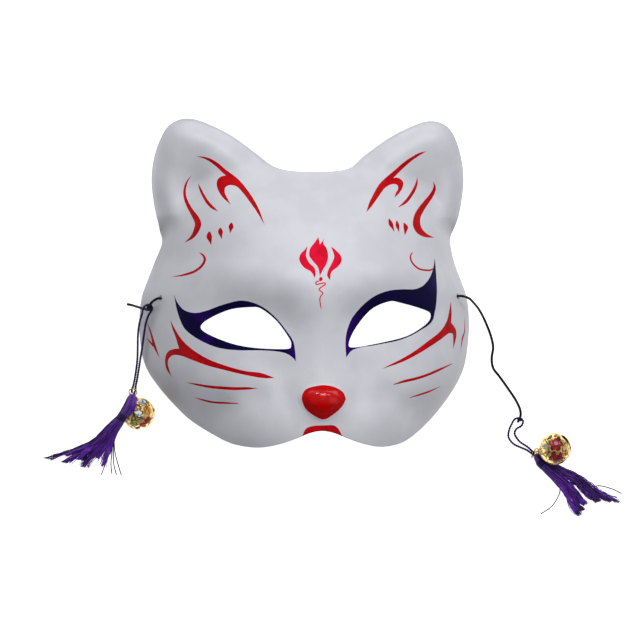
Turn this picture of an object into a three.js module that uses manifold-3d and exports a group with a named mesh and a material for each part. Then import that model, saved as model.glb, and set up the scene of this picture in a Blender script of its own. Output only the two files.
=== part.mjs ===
// Half-face fox mask of thin white moulded plastic, lying on its back with the face up.
// On each side a black cord comes out of a hole in the cheek and holds a purple loop,
// on which a gold ring, a small hollow bell and a thread tassel hang.
// Millimetres, +Z up. +Y points to the ears and +X to the right of someone looking at the face.
import * as THREE from 'three';
import { mergeVertices } from 'three/addons/utils/BufferGeometryUtils.js';
import Module from 'manifold-3d';

const wasm = await Module();
wasm.setup();

// Mask, driving dimensions
const WALL = 1.6;
const GRID_CENTRE = [0, -10];
const GRID_SPOKES = 84;
const GRID_RINGS = 14;
const SPLINE_STEPS = 8;

// Height of the face along its middle line: [y, z]
const CREST = [
  [-95, 70.5], [-80, 72.5], [-62, 72], [-40, 68.5], [-15, 64.5], [8, 64],
  [28, 59.5], [46, 48], [60, 31], [75, 9], [92, 1],
];
// Half width of the face where its wall meets the floor plane: [y, half width]
const HALF_WIDTH = [
  [-92, 60], [-83, 66.2], [-74, 70.8], [-65, 77.4], [-55, 83.5], [-45, 87.7], [-33, 89.7],
  [-21, 90.3], [-8, 89], [2, 85.5], [12, 81.8], [22, 79.8], [32, 77.6], [45, 72],
  [60, 61], [75, 44], [92, 24],
];
// Height of the rim along the cheek: [y, z]. Below zero it is cut flat and rests on the floor.
const RIM_HEIGHT = [
  [-74, 28], [-65, 20], [-55, 12], [-47, 5.5], [-40, 0.5], [-36, -1.5], [-20, -1.5],
  [6, -1.5], [10, 0.5], [14, 3], [22, 9],
];
// The dome's cross-section is 1 - t^DOME_SQUARE, raised to 1 / DOME_ROUND
const DOME_SQUARE = 2.6;
const DOME_ROUND = 1.6;
// Right half of the outline seen from the front, from the forehead round the ear
const EAR_OUTLINE = [
  [0, 58.3], [10, 58.6], [17.5, 59.8], [23, 62.5], [32.5, 70.3], [43, 77.6], [54, 83.2],
  [63, 86.3], [70.3, 86], [76.6, 82], [80.9, 74], [83.7, 64], [84.5, 53], [82.8, 39], [80, 28],
];
const CHEEK_OUTLINE_Y = [21.5, 12, 2, -8, -17, -28, -39, -48, -57, -66, -73.5];
const MUZZLE_OUTLINE = [
  [55, -80], [46, -84.6], [37, -86.4], [29, -86.2], [20, -84], [12, -81], [6, -78.6],
  [0, -77.6],
];
const EAR_SHEET_HEIGHT = 29;
const EAR_TILT = [-0.2, 0.12];
// The sheet tilts sideways only beyond this distance from the middle line
const EAR_LEVEL_WITHIN = 40;
const EAR_LEVEL_BLEND = 10;
const EAR_ROLL_DROP = 7.2;
const EAR_ROLL_WIDTH = 7;
// Long soft hollows of the ears: [x, y, spread along, spread across, turn in degrees, height]
const EAR_HOLLOWS = [[60.6, 40, 26, 8.9, 81, -6], [72, 52, 8, 20, -25, -2]];
const EAR_BLEND = 12;
const EAR_ROOT_DROP = 50;
// The nose rises by NOSE_RISE at its middle: [x, y, spread in x, spread in y, share of the rise]
const NOSE_RISE = 4.4;
const NOSE_DOME = [0, -60.6, 9, 7.5, 0.45];
const NOSE_OUTLINE = [
  [0, -53.6], [6.5, -54.6], [11, -57.6], [12, -61.3], [9.6, -65.6], [4.5, -69.8], [0, -71.6],
];

// Soft forms of the face: [x, y, spread in x, spread in y, height], mirrored to both sides
const FACE_FORMS = [
  [0, -4.5, 42, 17, 8.5],
  [34, 4, 22, 9, 1.5],
  [0, 30, 30, 14, -1],
  [40, -17, 24, 12, -2.8],
  [19, -24, 9, 12, -1.8],
  [60, -48, 20, 14, 0.8],
  [24, -46, 10, 9, -1.9],
  [34, -60, 10, 8, -2.2],
  [50, -67, 12, 8, -3],
  [28, -74, 17, 12, 1.8],
  [18, -60, 6, 9, -1.2],
];
const BRIDGE_HEIGHT = 4.2;
const BRIDGE_SPREAD = 14;

// Eye openings, trimmed by hand and so a little unlike each other: [x, y]
const LEFT_EYE = [
  [-61.4, -23.6], [-56.6, -19.4], [-46.3, -15.1], [-36.2, -13.9], [-30.6, -14.7], [-22.5, -21.1],
  [-16.5, -29.6], [-15.5, -33.3], [-17.6, -35.3], [-32.5, -34.9], [-45.3, -32.6], [-57.9, -27.4],
];
const RIGHT_EYE = [
  [14.8, -32.3], [18.8, -24.4], [26.9, -15.1], [36.7, -10.9], [43.5, -11.6], [59, -15.4],
  [62, -18.2], [58.8, -22.5], [47.4, -28.5], [33, -32], [17.2, -34.6],
];
const EYE_CUT_BOTTOM = 20;
const EYE_CUT_TOP = 100;

// Cord holes in the cheeks
const LEFT_HOLE = [-80.4, -8.9];
const RIGHT_HOLE = [79.2, -7.7];
const HOLE_DIAMETER = 2.8;
const HOLE_DRILL_LENGTH = 14;

// Cords
const BLACK_DIAMETER = 1.4;
const PURPLE_DIAMETER = 1.1;
const CORD_SIDES = 8;
const LEFT_CORD_ROUTE = [
  [-77.13, -9.47, 24.6], [-78.93, -9.17, 25.8], [-81.91, -9.12, 27.37], [-85.25, -11.4, 26.94],
  [-86.42, -14.86, 23.06], [-88.13, -14.66, 18.99], [-89.8, -14.15, 15.2], [-91.46, -13.49, 11],
  [-93.05, -12.93, 6.4], [-94.57, -12.37, 2.39], [-96.41, -11.93, 0.86],
];
const RIGHT_CORD_ROUTE = [
  [75.82, -8.45, 26.53], [77.72, -8.05, 27.53], [80.76, -7.55, 29.05], [84.71, -8.51, 27.92],
  [89.66, -11.33, 19.21], [95.05, -15.61, 8.91], [99.52, -22.1, 2.8], [102.65, -29.09, 0.8],
  [103.95, -35.27, 0.8], [103.15, -41.56, 0.8], [103.95, -46.76, 0.8], [107.52, -51.55, 0.8],
  [112.59, -58.53, 0.8], [116.96, -65.11, 0.8], [119.14, -70.1, 0.8], [119.24, -73.5, 0.8],
  [117.95, -76.29, 0.8],
];
const LEFT_LOOP_ROUTE = [
  [-94.74, -59.35, 12.6], [-94.7, -57.55, 11.22], [-93.93, -56.12, 8.18], [-93.08, -53.28, 4.57],
  [-92.15, -48.2, 2.15], [-91.53, -41.97, 3.98], [-91.52, -35.2, 8], [-91.63, -29, 12.2],
  [-91.05, -22.03, 16.98], [-89.94, -17.4, 21.14], [-89.1, -13.72, 23.82], [-87.11, -12.39, 23.85],
  [-85.25, -12.76, 22.9], [-84.55, -14.59, 21.71], [-86.4, -17.92, 20.59], [-87.69, -22.32, 17.6],
  [-88.47, -28.47, 14.21], [-89.28, -34.88, 12.18], [-90.13, -41.37, 8], [-90.84, -47.91, 3.85],
  [-91.8, -53.49, 5.23], [-92.59, -56.36, 8.82], [-92.74, -58.01, 11.24], [-93.57, -59.57, 12.7],
];
const RIGHT_LOOP_ROUTE = [
  [126.58, -95.02, 2.9], [125.33, -93.95, 2.53], [122.94, -92.14, 0.85], [119.73, -90.76, 0.67],
  [115.23, -88.5, 0.66], [112.63, -84.99, 0.65], [112.8, -81.39, 0.67], [114.1, -78.07, 0.82],
  [115.78, -74.85, 2.47], [118.63, -74.36, 2.71], [120.4, -75.95, 1.91], [119.92, -78.52, 0.84],
  [116.99, -80.44, 0.65], [115.96, -82.89, 0.7], [118.8, -87.31, 0.71], [123.31, -90.35, 0.84],
  [126.03, -93.06, 2.49], [127.29, -94.06, 2.9],
];
const BLACK_STEP = 3.6;
const PURPLE_STEP = 2.4;

// Rings and bells
const RING_RADIUS = 2.2;
const RING_WIRE = 0.35;
const BELL_RADIUS = 8.75;
const BELL_WALL = 0.8;
const BELL_SLOT = 2;
const EYELET_RADIUS = 1.5;
const EYELET_WIRE = 0.4;
const EYELET_REACH = 10.05;
const EYELET_SLACK = 0.45;
const CLEARANCE = 0.35;

// Each hanging: where its ring is, the way the loop runs through it, the side of the ring
// that the bell hangs from, and the way from there to the bell's middle in plan
const HANGINGS = {
  left: {
    ring: [-94.2, -58.9, 12],
    threadWay: [-0.16, -0.67, 0.73],
    bellSide: [0.33, -0.726, -0.6],
    bellWay: [0.244, -0.97],
  },
  right: {
    ring: [126.25, -94.15, 3.4],
    threadWay: [0.8, -0.6, 0],
    bellSide: [0.55, 0.75, 0.37],
    bellWay: [0.988, 0.155],
  },
};

// Tassels as sections across the threads, sides named looking along them:
// [left x, left y, right x, right y, middle z, half height]
const LEFT_TASSEL = [
  [-93.2, -60.3, -95.8, -59.9, 13.4, 1.3], [-92.5, -63, -97.5, -62, 15.4, 2.1],
  [-92.7, -66.4, -98.9, -64.8, 16.6, 2.4], [-94.7, -70.7, -100.3, -67.5, 15.4, 2.3],
  [-98.6, -74.2, -102.4, -71.6, 11.3, 2], [-99.6, -77.1, -105.8, -74.7, 8.2, 2.2],
  [-102.2, -81.7, -110.2, -79.7, 4.9, 2.3], [-104.2, -87.1, -115.2, -85.1, 2.7, 2.1],
  [-105.5, -92.4, -125.7, -89.8, 1.7, 1.6], [-106.5, -103, -141.7, -94.7, 0.9, 0.8],
];
const RIGHT_TASSEL = [
  [128.1, -93.7, 126.5, -96.3, 2.7, 1.7], [131.8, -95.2, 128.2, -100.2, 2.7, 2.6],
  [136.6, -98, 132, -104, 2.7, 2.6], [142, -101, 136.5, -108.3, 2.4, 2.3],
  [148, -103.5, 141, -112.8, 2.1, 2], [154.9, -107.3, 145, -118.8, 1.8, 1.7],
  [163.3, -114.2, 147.4, -125, 1.4, 1.3], [176.7, -121.2, 150.9, -129.2, 0.9, 0.8],
];
const TASSEL_SIDES = 10;

const maskPlastic = new THREE.MeshStandardMaterial({ color: 0xd6d7dc, roughness: 0.5, metalness: 0 });
const blackCord = new THREE.MeshStandardMaterial({ color: 0x0b0a0d, roughness: 0.8, metalness: 0 });
const purpleThread = new THREE.MeshStandardMaterial({ color: 0x3a1478, roughness: 0.45, metalness: 0 });
const purpleCord = new THREE.MeshStandardMaterial({ color: 0x2a0f5c, roughness: 0.6, metalness: 0 });
const gold = new THREE.MeshStandardMaterial({ color: 0xc9973a, roughness: 0.25, metalness: 1 });

// Smooth curve through points [a, b] sorted by a
function throughPoints(points) {
  const slopes = points.map((point, i) => {
    const before = points[Math.max(i - 1, 0)];
    const after = points[Math.min(i + 1, points.length - 1)];
    return (after[1] - before[1]) / (after[0] - before[0]);
  });
  return (a) => {
    let i = 0;
    while (i < points.length - 2 && a > points[i + 1][0]) i += 1;
    const span = points[i + 1][0] - points[i][0];
    const t = Math.min(Math.max((a - points[i][0]) / span, 0), 1);
    const t2 = t * t;
    const t3 = t2 * t;
    return (2 * t3 - 3 * t2 + 1) * points[i][1]
      + (t3 - 2 * t2 + t) * span * slopes[i]
      + (3 * t2 - 2 * t3) * points[i + 1][1]
      + (t3 - t2) * span * slopes[i + 1];
  };
}

function smoothStep(from, to, value) {
  const t = Math.min(Math.max((value - from) / (to - from), 0), 1);
  return t * t * (3 - 2 * t);
}

function smoothMax(a, b, blend) {
  const h = Math.max(blend - Math.abs(a - b), 0) / blend;
  return Math.max(a, b) + h * h * blend / 4;
}

const crest = throughPoints(CREST);
const halfWidth = throughPoints(HALF_WIDTH);
const rimHeight = throughPoints(RIM_HEIGHT);

// Share of the crest's height at t = |x| / half width, below zero outside the wall
function domeSection(t) {
  const v = 1 - t ** DOME_SQUARE;
  return Math.sign(v) * Math.abs(v) ** (1 / DOME_ROUND);
}

// Where the dome's wall reaches the rim's height
function cheekX(y) {
  const share = rimHeight(y) / crest(y);
  const v = 1 - Math.sign(share) * Math.abs(share) ** DOME_ROUND;
  return halfWidth(y) * v ** (1 / DOME_SQUARE);
}

function closedSpline(points) {
  const curve = new THREE.CatmullRomCurve3(
    points.map(([x, y]) => new THREE.Vector3(x, y, 0)), true, 'catmullrom', 0.5);
  const count = points.length * SPLINE_STEPS;
  return Array.from({ length: count }, (_, i) => curve.getPoint(i / count));
}

function mirrored(half) {
  return [...half, ...half.slice(1, -1).reverse().map(([x, y]) => [-x, y])];
}

const rightHalf = [
  ...EAR_OUTLINE,
  ...CHEEK_OUTLINE_Y.map((y) => [cheekX(y), y]),
  ...MUZZLE_OUTLINE,
];
const outline = closedSpline(mirrored(rightHalf));
const noseOutline = closedSpline(mirrored(NOSE_OUTLINE));

function distanceTo(loop, x, y) {
  let best = Infinity;
  loop.forEach((a, i) => {
    const b = loop[(i + 1) % loop.length];
    const dx = b.x - a.x;
    const dy = b.y - a.y;
    const t = Math.min(Math.max(((x - a.x) * dx + (y - a.y) * dy) / (dx * dx + dy * dy), 0), 1);
    best = Math.min(best, Math.hypot(x - a.x - t * dx, y - a.y - t * dy));
  });
  return best;
}

function isInside(loop, x, y) {
  let inside = false;
  loop.forEach((a, i) => {
    const b = loop[(i + 1) % loop.length];
    const crosses = (a.y > y) !== (b.y > y) && x < ((b.x - a.x) * (y - a.y)) / (b.y - a.y) + a.x;
    if (crosses) inside = !inside;
  });
  return inside;
}

function softForm(x, y, [cx, cy, spreadX, spreadY, height]) {
  return height * Math.exp(-(((x - cx) / spreadX) ** 2) - ((y - cy) / spreadY) ** 2);
}

// The face: a dome with eye sockets, cheeks, muzzle and the bridge of the nose
function faceHeight(x, y) {
  const side = Math.abs(x);
  let z = crest(y) * domeSection(side / halfWidth(y));
  FACE_FORMS.forEach((form) => { z += softForm(side, y, form); });
  z += BRIDGE_HEIGHT * Math.exp(-((x / BRIDGE_SPREAD) ** 2))
    * smoothStep(4, -26, y) * smoothStep(-76, -60, y);
  return z;
}

function turnedForm(x, y, [cx, cy, spreadAlong, spreadAcross, degrees, height]) {
  const turn = (degrees * Math.PI) / 180;
  const along = (x - cx) * Math.cos(turn) + (y - cy) * Math.sin(turn);
  const across = (y - cy) * Math.cos(turn) - (x - cx) * Math.sin(turn);
  return height * Math.exp(-((along / spreadAlong) ** 2) - (across / spreadAcross) ** 2);
}

// The ears: a sheet that rolls down towards its edge and is hollow in the middle
function earHeight(x, y) {
  const side = Math.abs(x);
  const inset = distanceTo(outline, x, y);
  const onEar = smoothStep(16, 32, side) * smoothStep(18, 36, y);
  let form = -EAR_ROLL_DROP * Math.exp(-((inset / EAR_ROLL_WIDTH) ** 2));
  EAR_HOLLOWS.forEach((hollow) => { form += turnedForm(side, y, hollow); });
  const beside = side - EAR_LEVEL_WITHIN;
  const far = EAR_LEVEL_WITHIN + (beside + Math.hypot(beside, EAR_LEVEL_BLEND)) / 2;
  const sheet = EAR_SHEET_HEIGHT + EAR_TILT[0] * (far - 60) + EAR_TILT[1] * (y - 50);
  return sheet - EAR_ROOT_DROP * smoothStep(36, 4, y) + form * onEar;
}

function noseLift(x, y) {
  const depth = distanceTo(noseOutline, x, y) * (isInside(noseOutline, x, y) ? 1 : -1);
  const [cx, cy, spreadX, spreadY, share] = NOSE_DOME;
  const dome = Math.exp(-(((x - cx) / spreadX) ** 2) - ((y - cy) / spreadY) ** 2);
  return NOSE_RISE * smoothStep(-1, 5, depth) * (1 - share + share * dome);
}

function surfaceHeight(x, y) {
  return smoothMax(faceHeight(x, y), earHeight(x, y), EAR_BLEND) + noseLift(x, y);
}

function surfaceNormal(x, y) {
  const step = 0.2;
  const dx = (surfaceHeight(x + step, y) - surfaceHeight(x - step, y)) / (2 * step);
  const dy = (surfaceHeight(x, y + step) - surfaceHeight(x, y - step)) / (2 * step);
  return new THREE.Vector3(-dx, -dy, 1).normalize();
}

function meshGeometry(positions, triangles) {
  const geometry = new THREE.BufferGeometry();
  geometry.setAttribute('position', new THREE.Float32BufferAttribute(positions, 3));
  geometry.setIndex(triangles);
  return geometry;
}

// The plain shell: an outer and an inner skin on a grid of spokes and rings, joined at the rim
function shellGeometry() {
  const rim = new THREE.CatmullRomCurve3(outline, true).getSpacedPoints(GRID_SPOKES).slice(0, -1);
  const skins = { outer: [], inner: [] };
  const addPoint = (x, y) => {
    const point = new THREE.Vector3(x, y, surfaceHeight(x, y));
    skins.outer.push(point);
    skins.inner.push(point.clone().addScaledVector(surfaceNormal(x, y), -WALL));
  };
  addPoint(...GRID_CENTRE);
  for (let ring = 1; ring <= GRID_RINGS; ring += 1) {
    const reach = Math.sin((ring / GRID_RINGS) * (Math.PI / 2));
    rim.forEach(({ x, y }) => {
      addPoint(GRID_CENTRE[0] + (x - GRID_CENTRE[0]) * reach,
        GRID_CENTRE[1] + (y - GRID_CENTRE[1]) * reach);
    });
  }
  const count = skins.outer.length;
  const spokes = rim.length;
  const triangles = [];
  // The rim runs clockwise seen from the front, so the outer skin takes the points in reverse
  const addFace = (a, b, c) => {
    triangles.push(a, b, c);
    triangles.push(count + a, count + c, count + b);
  };
  for (let i = 0; i < spokes; i += 1) {
    const next = (i + 1) % spokes;
    addFace(0, 1 + next, 1 + i);
    for (let ring = 0; ring < GRID_RINGS - 1; ring += 1) {
      const a = 1 + ring * spokes + i;
      const b = 1 + ring * spokes + next;
      addFace(a, b, b + spokes);
      addFace(a, b + spokes, a + spokes);
    }
    const edge = 1 + (GRID_RINGS - 1) * spokes;
    triangles.push(edge + i, edge + next, count + edge + next);
    triangles.push(edge + i, count + edge + next, count + edge + i);
  }
  const positions = [...skins.outer, ...skins.inner].flatMap(({ x, y, z }) => [x, y, z]);
  return meshGeometry(positions, triangles);
}

function toSolid(geometry) {
  const plain = geometry.clone();
  plain.deleteAttribute('normal');
  plain.deleteAttribute('uv');
  const merged = mergeVertices(plain, 1e-4);
  return new wasm.Manifold(new wasm.Mesh({
    numProp: 3,
    vertProperties: new Float32Array(merged.attributes.position.array),
    triVerts: new Uint32Array(merged.index.array),
  }));
}

function toGeometry(solid) {
  const mesh = solid.getMesh();
  return meshGeometry(Array.from(mesh.vertProperties), Array.from(mesh.triVerts));
}

function eyeCutter(points) {
  const shape = new THREE.Shape(closedSpline(points)
    .filter((_, i) => i % 4 === 0)
    .map(({ x, y }) => new THREE.Vector2(x, y)));
  const cutter = new THREE.ExtrudeGeometry(shape, {
    depth: EYE_CUT_TOP - EYE_CUT_BOTTOM, bevelEnabled: false,
  });
  return cutter.translate(0, 0, EYE_CUT_BOTTOM);
}

function holeCutter([x, y]) {
  const drill = new THREE.CylinderGeometry(
    HOLE_DIAMETER / 2, HOLE_DIAMETER / 2, HOLE_DRILL_LENGTH, 10);
  const turn = new THREE.Quaternion()
    .setFromUnitVectors(new THREE.Vector3(0, 1, 0), surfaceNormal(x, y));
  return drill.applyQuaternion(turn).translate(x, y, surfaceHeight(x, y));
}

function maskShell() {
  const floorDepth = 10;
  const below = new THREE.BoxGeometry(300, 300, floorDepth).translate(0, 0, -floorDepth / 2);
  const cutters = [
    below, eyeCutter(LEFT_EYE), eyeCutter(RIGHT_EYE), holeCutter(LEFT_HOLE), holeCutter(RIGHT_HOLE),
  ];
  const solid = cutters.reduce(
    (rest, cutter) => rest.subtract(toSolid(cutter)), toSolid(shellGeometry()));
  return toGeometry(solid);
}

function cordTube(route, diameter, step) {
  const curve = new THREE.CatmullRomCurve3(
    route.map((point) => new THREE.Vector3(...point)), false, 'centripetal');
  const section = new THREE.Shape(Array.from({ length: CORD_SIDES }, (_, i) => {
    const angle = (i / CORD_SIDES) * 2 * Math.PI;
    return new THREE.Vector2(Math.cos(angle), Math.sin(angle)).multiplyScalar(diameter / 2);
  }));
  const steps = Math.round(curve.getLength() / step);
  return new THREE.ExtrudeGeometry(section, { steps, extrudePath: curve, bevelEnabled: false });
}

// Places of a hanging's ring, bell and eyelet, worked out from the ring outwards
function hangingPlaces({ ring, threadWay, bellSide, bellWay }) {
  const ringCentre = new THREE.Vector3(...ring);
  const ringAxis = new THREE.Vector3(...threadWay).normalize();
  const side = new THREE.Vector3(...bellSide);
  side.addScaledVector(ringAxis, -side.dot(ringAxis)).normalize();
  const hook = ringCentre.clone().addScaledVector(side, RING_RADIUS);
  const reach = EYELET_SLACK + EYELET_REACH;
  const drop = (BELL_RADIUS - hook.z) / reach;
  const level = Math.sqrt(1 - drop * drop) / Math.hypot(...bellWay);
  const toBell = new THREE.Vector3(bellWay[0] * level, bellWay[1] * level, drop);
  const eyelet = hook.clone().addScaledVector(toBell, EYELET_SLACK);
  const bell = hook.clone().addScaledVector(toBell, reach);
  const eyeletAxis = new THREE.Vector3().crossVectors(ringAxis, side);
  eyeletAxis.addScaledVector(toBell, -eyeletAxis.dot(toBell)).normalize();
  return { ringCentre, ringAxis, eyelet, eyeletAxis, bell, toBell };
}

// A hollow bell with a sound slot underneath and a wire eyelet on top, its axis along Y
function bellGeometry() {
  const outer = toSolid(new THREE.SphereGeometry(BELL_RADIUS, 18, 10));
  const inner = toSolid(new THREE.SphereGeometry(BELL_RADIUS - BELL_WALL, 12, 8));
  const slotLength = BELL_RADIUS * 1.5;
  const slot = new THREE.BoxGeometry(slotLength, BELL_RADIUS, BELL_SLOT)
    .translate(0, -BELL_RADIUS, 0);
  const eyelet = new THREE.TorusGeometry(EYELET_RADIUS, EYELET_WIRE, 6, 12)
    .translate(0, EYELET_REACH, 0);
  return toGeometry(outer.add(toSolid(eyelet)).subtract(inner).subtract(toSolid(slot)));
}

function placeBell(mesh, { bell, toBell, eyeletAxis }) {
  const up = toBell.clone().negate();
  const across = new THREE.Vector3().crossVectors(up, eyeletAxis);
  mesh.quaternion.setFromRotationMatrix(new THREE.Matrix4().makeBasis(across, up, eyeletAxis));
  mesh.position.copy(bell);
}

// A tassel: elliptic sections across its threads, joined into one closed body
function tasselGeometry(sections, { bell, eyelet }) {
  const positions = [];
  const triangles = [];
  sections.forEach(([leftX, leftY, rightX, rightY, z, halfHeight]) => {
    for (let i = 0; i < TASSEL_SIDES; i += 1) {
      const angle = (i / TASSEL_SIDES) * 2 * Math.PI;
      const across = (1 + Math.cos(angle)) / 2;
      positions.push(leftX + (rightX - leftX) * across, leftY + (rightY - leftY) * across,
        z + halfHeight * Math.sin(angle));
    }
  });
  for (let i = 0; i < TASSEL_SIDES; i += 1) {
    const next = (i + 1) % TASSEL_SIDES;
    for (let k = 0; k < sections.length - 1; k += 1) {
      const a = k * TASSEL_SIDES;
      const b = a + TASSEL_SIDES;
      triangles.push(a + i, b + next, a + next, a + i, b + i, b + next);
    }
  }
  const last = (sections.length - 1) * TASSEL_SIDES;
  for (let i = 1; i < TASSEL_SIDES - 1; i += 1) {
    triangles.push(0, i, i + 1);
    triangles.push(last, last + i + 1, last + i);
  }
  const body = toSolid(meshGeometry(positions, triangles));
  const roomFor = (radius, centre) => toSolid(
    new THREE.SphereGeometry(radius, 20, 12).translate(centre.x, centre.y, centre.z));
  const eyeletRoom = EYELET_RADIUS + EYELET_WIRE + CLEARANCE;
  return toGeometry(body
    .subtract(roomFor(BELL_RADIUS + CLEARANCE, bell))
    .subtract(roomFor(eyeletRoom, eyelet)));
}

const foxMask = new THREE.Group();

function addPart(name, geometry, material) {
  const mesh = new THREE.Mesh(geometry, material);
  mesh.name = name;
  foxMask.add(mesh);
  return mesh;
}

addPart('mask_shell', maskShell(), maskPlastic);
addPart('left_cord', cordTube(LEFT_CORD_ROUTE, BLACK_DIAMETER, BLACK_STEP), blackCord);
addPart('right_cord', cordTube(RIGHT_CORD_ROUTE, BLACK_DIAMETER, BLACK_STEP), blackCord);
addPart('left_loop', cordTube(LEFT_LOOP_ROUTE, PURPLE_DIAMETER, PURPLE_STEP), purpleCord);
addPart('right_loop', cordTube(RIGHT_LOOP_ROUTE, PURPLE_DIAMETER, PURPLE_STEP), purpleCord);

Object.entries({ left: LEFT_TASSEL, right: RIGHT_TASSEL }).forEach(([side, sections]) => {
  const places = hangingPlaces(HANGINGS[side]);
  const ring = addPart(`${side}_ring`, new THREE.TorusGeometry(RING_RADIUS, RING_WIRE, 6, 16), gold);
  ring.quaternion.setFromUnitVectors(new THREE.Vector3(0, 0, 1), places.ringAxis);
  ring.position.copy(places.ringCentre);
  placeBell(addPart(`${side}_bell`, bellGeometry(), gold), places);
  addPart(`${side}_tassel`, tasselGeometry(sections, places), purpleThread);
});

export default foxMask;
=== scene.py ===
# %% [markdown]
# # A painted fox mask lying on its back
# The object is a half-face mask, moulded in thin white plastic and painted with red and
# navy strokes. A cord, a little bell and a thread tassel hang at each side.
# It lies face up on a pale floor and the camera looks down on it, a little from the left.
# Every length here is in millimetres until a mesh is made, which then holds metres.

# %% Frame and tools
import math
import bpy
import numpy as np
from mathutils import Matrix, Vector
from mathutils.geometry import delaunay_2d_cdt
from mathutils.kdtree import KDTree


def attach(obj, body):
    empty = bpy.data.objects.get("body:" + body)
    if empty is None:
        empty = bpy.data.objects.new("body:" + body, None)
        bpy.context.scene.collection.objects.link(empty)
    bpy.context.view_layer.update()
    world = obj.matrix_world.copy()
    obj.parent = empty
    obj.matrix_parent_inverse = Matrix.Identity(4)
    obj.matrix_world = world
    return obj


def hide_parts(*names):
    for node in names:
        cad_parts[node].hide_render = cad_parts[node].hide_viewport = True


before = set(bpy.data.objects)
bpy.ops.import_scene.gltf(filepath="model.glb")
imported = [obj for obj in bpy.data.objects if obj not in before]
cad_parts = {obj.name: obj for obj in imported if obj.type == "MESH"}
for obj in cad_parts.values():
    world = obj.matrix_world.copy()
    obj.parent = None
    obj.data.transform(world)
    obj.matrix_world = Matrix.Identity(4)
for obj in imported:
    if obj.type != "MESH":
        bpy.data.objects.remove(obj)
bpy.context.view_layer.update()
MM = 0.001
print("solids:", ", ".join(sorted(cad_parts)))

# %% [markdown]
# ## Camera
# The two eye openings, the muzzle and the ears show that the picture was taken from almost
# straight above, from 7 degrees to the viewer's left. The camera could be placed by eye,
# but a camera with known directions also lets a pixel of the picture be traced back to a
# place on the mask, and the painted strokes are placed that way below.

# %% Camera
PHOTO_SIZE = 640
CAMERA_TURN = math.radians(7.2)
CAMERA_DISTANCE = 1300.0
MM_PER_PIXEL = 0.545
FOCAL_PIXELS = CAMERA_DISTANCE / MM_PER_PIXEL
look = np.array([math.sin(CAMERA_TURN), 0, -math.cos(CAMERA_TURN)])
right = np.array([math.cos(CAMERA_TURN), 0, math.sin(CAMERA_TURN)])
up = np.array([0.0, 1.0, 0.0])
aim = np.array([8.11, -20.45, 0])
eye = aim - look * CAMERA_DISTANCE

camera_data = bpy.data.cameras.new("picture_camera")
camera_data.sensor_width = 36
camera_data.lens = 36 * FOCAL_PIXELS / PHOTO_SIZE
camera = bpy.data.objects.new("picture_camera", camera_data)
turn = Matrix([right, up, -look]).transposed().to_4x4()
camera.matrix_world = Matrix.Translation(Vector(eye * MM)) @ turn
bpy.context.scene.collection.objects.link(camera)
bpy.context.scene.camera = camera
print("camera at", [round(c * MM, 3) for c in eye], "m, lens", round(camera_data.lens, 1), "mm")

# %% [markdown]
# ## Smooth lines
# Cords, outlines and brush strokes are all smooth lines through a few points.
# A Catmull-Rom spline passes through each point, so it needs no handles.
# The centripetal kind never loops or overshoots, which suits cords and brush strokes.


# %% Smooth lines
def smooth_line(points, closed=False, even=None, steps=8, centripetal=True):
    """Points along a Catmull-Rom spline, evenly spaced if a spacing is given."""
    p = np.asarray(points, float)
    count = len(p) if closed else len(p) - 1
    if closed:
        around = [np.roll(p, 1, 0), p, np.roll(p, -1, 0), np.roll(p, -2, 0)]
    else:
        longer = np.vstack([2 * p[0] - p[1], p, 2 * p[-1] - p[-2]])
        around = [longer[i:i + count] for i in range(4)]
    a, b, c, d = around
    if centripetal:
        def gap(s, e):
            return np.maximum(np.linalg.norm(e - s, axis=1, keepdims=True), 1e-6) ** 0.5
        ab, bc, cd = gap(a, b), gap(b, c), gap(c, d)
        leave = ((b - a) / ab - (c - a) / (ab + bc) + (c - b) / bc) * bc
        arrive = ((c - b) / bc - (d - b) / (bc + cd) + (d - c) / cd) * bc
    else:
        leave, arrive = (c - a) / 2, (d - b) / 2
    t = (np.arange(steps) / steps)[None, :, None]
    b, c, leave, arrive = (q[:, None, :] for q in (b, c, leave, arrive))
    line = ((2 * t**3 - 3 * t**2 + 1) * b + (t**3 - 2 * t**2 + t) * leave
            + (3 * t**2 - 2 * t**3) * c + (t**3 - t**2) * arrive)
    line = line.reshape(-1, p.shape[1])
    if not closed:
        line = np.vstack([line, p[-1]])
    return evenly(line, even, closed) if even else line


def length_along(line):
    """The length of a line up to each of its points."""
    return np.concatenate([[0], np.cumsum(np.linalg.norm(np.diff(line, axis=0), axis=1))])


def evenly(line, spacing, closed=False):
    """The same line with its points a spacing apart."""
    whole = np.vstack([line, line[:1]]) if closed else line
    at = length_along(whole)
    count = max(int(round(at[-1] / spacing)), 2)
    wanted = np.linspace(0, at[-1], count + 1)[:-1 if closed else None]
    return np.stack([np.interp(wanted, at, whole[:, k]) for k in range(whole.shape[1])], 1)


def smooth_step(start, end, value):
    t = np.clip((value - start) / (end - start), 0, 1)
    return t * t * (3 - 2 * t)


def unit(v):
    v = np.asarray(v, float)
    return v / np.maximum(np.linalg.norm(v, axis=-1, keepdims=True), 1e-12)


# %% [markdown]
# ## Routes of the cords
# The black cord on the left is a short end: it comes out of the cheek, holds the purple loop
# and drops to the floor. The right one is long and lies on the floor in a lazy S.
# Each purple loop is one thin cord that goes up from the tassel, over the black cord and
# back down. These are the routes that the solids of the cords follow.

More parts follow.
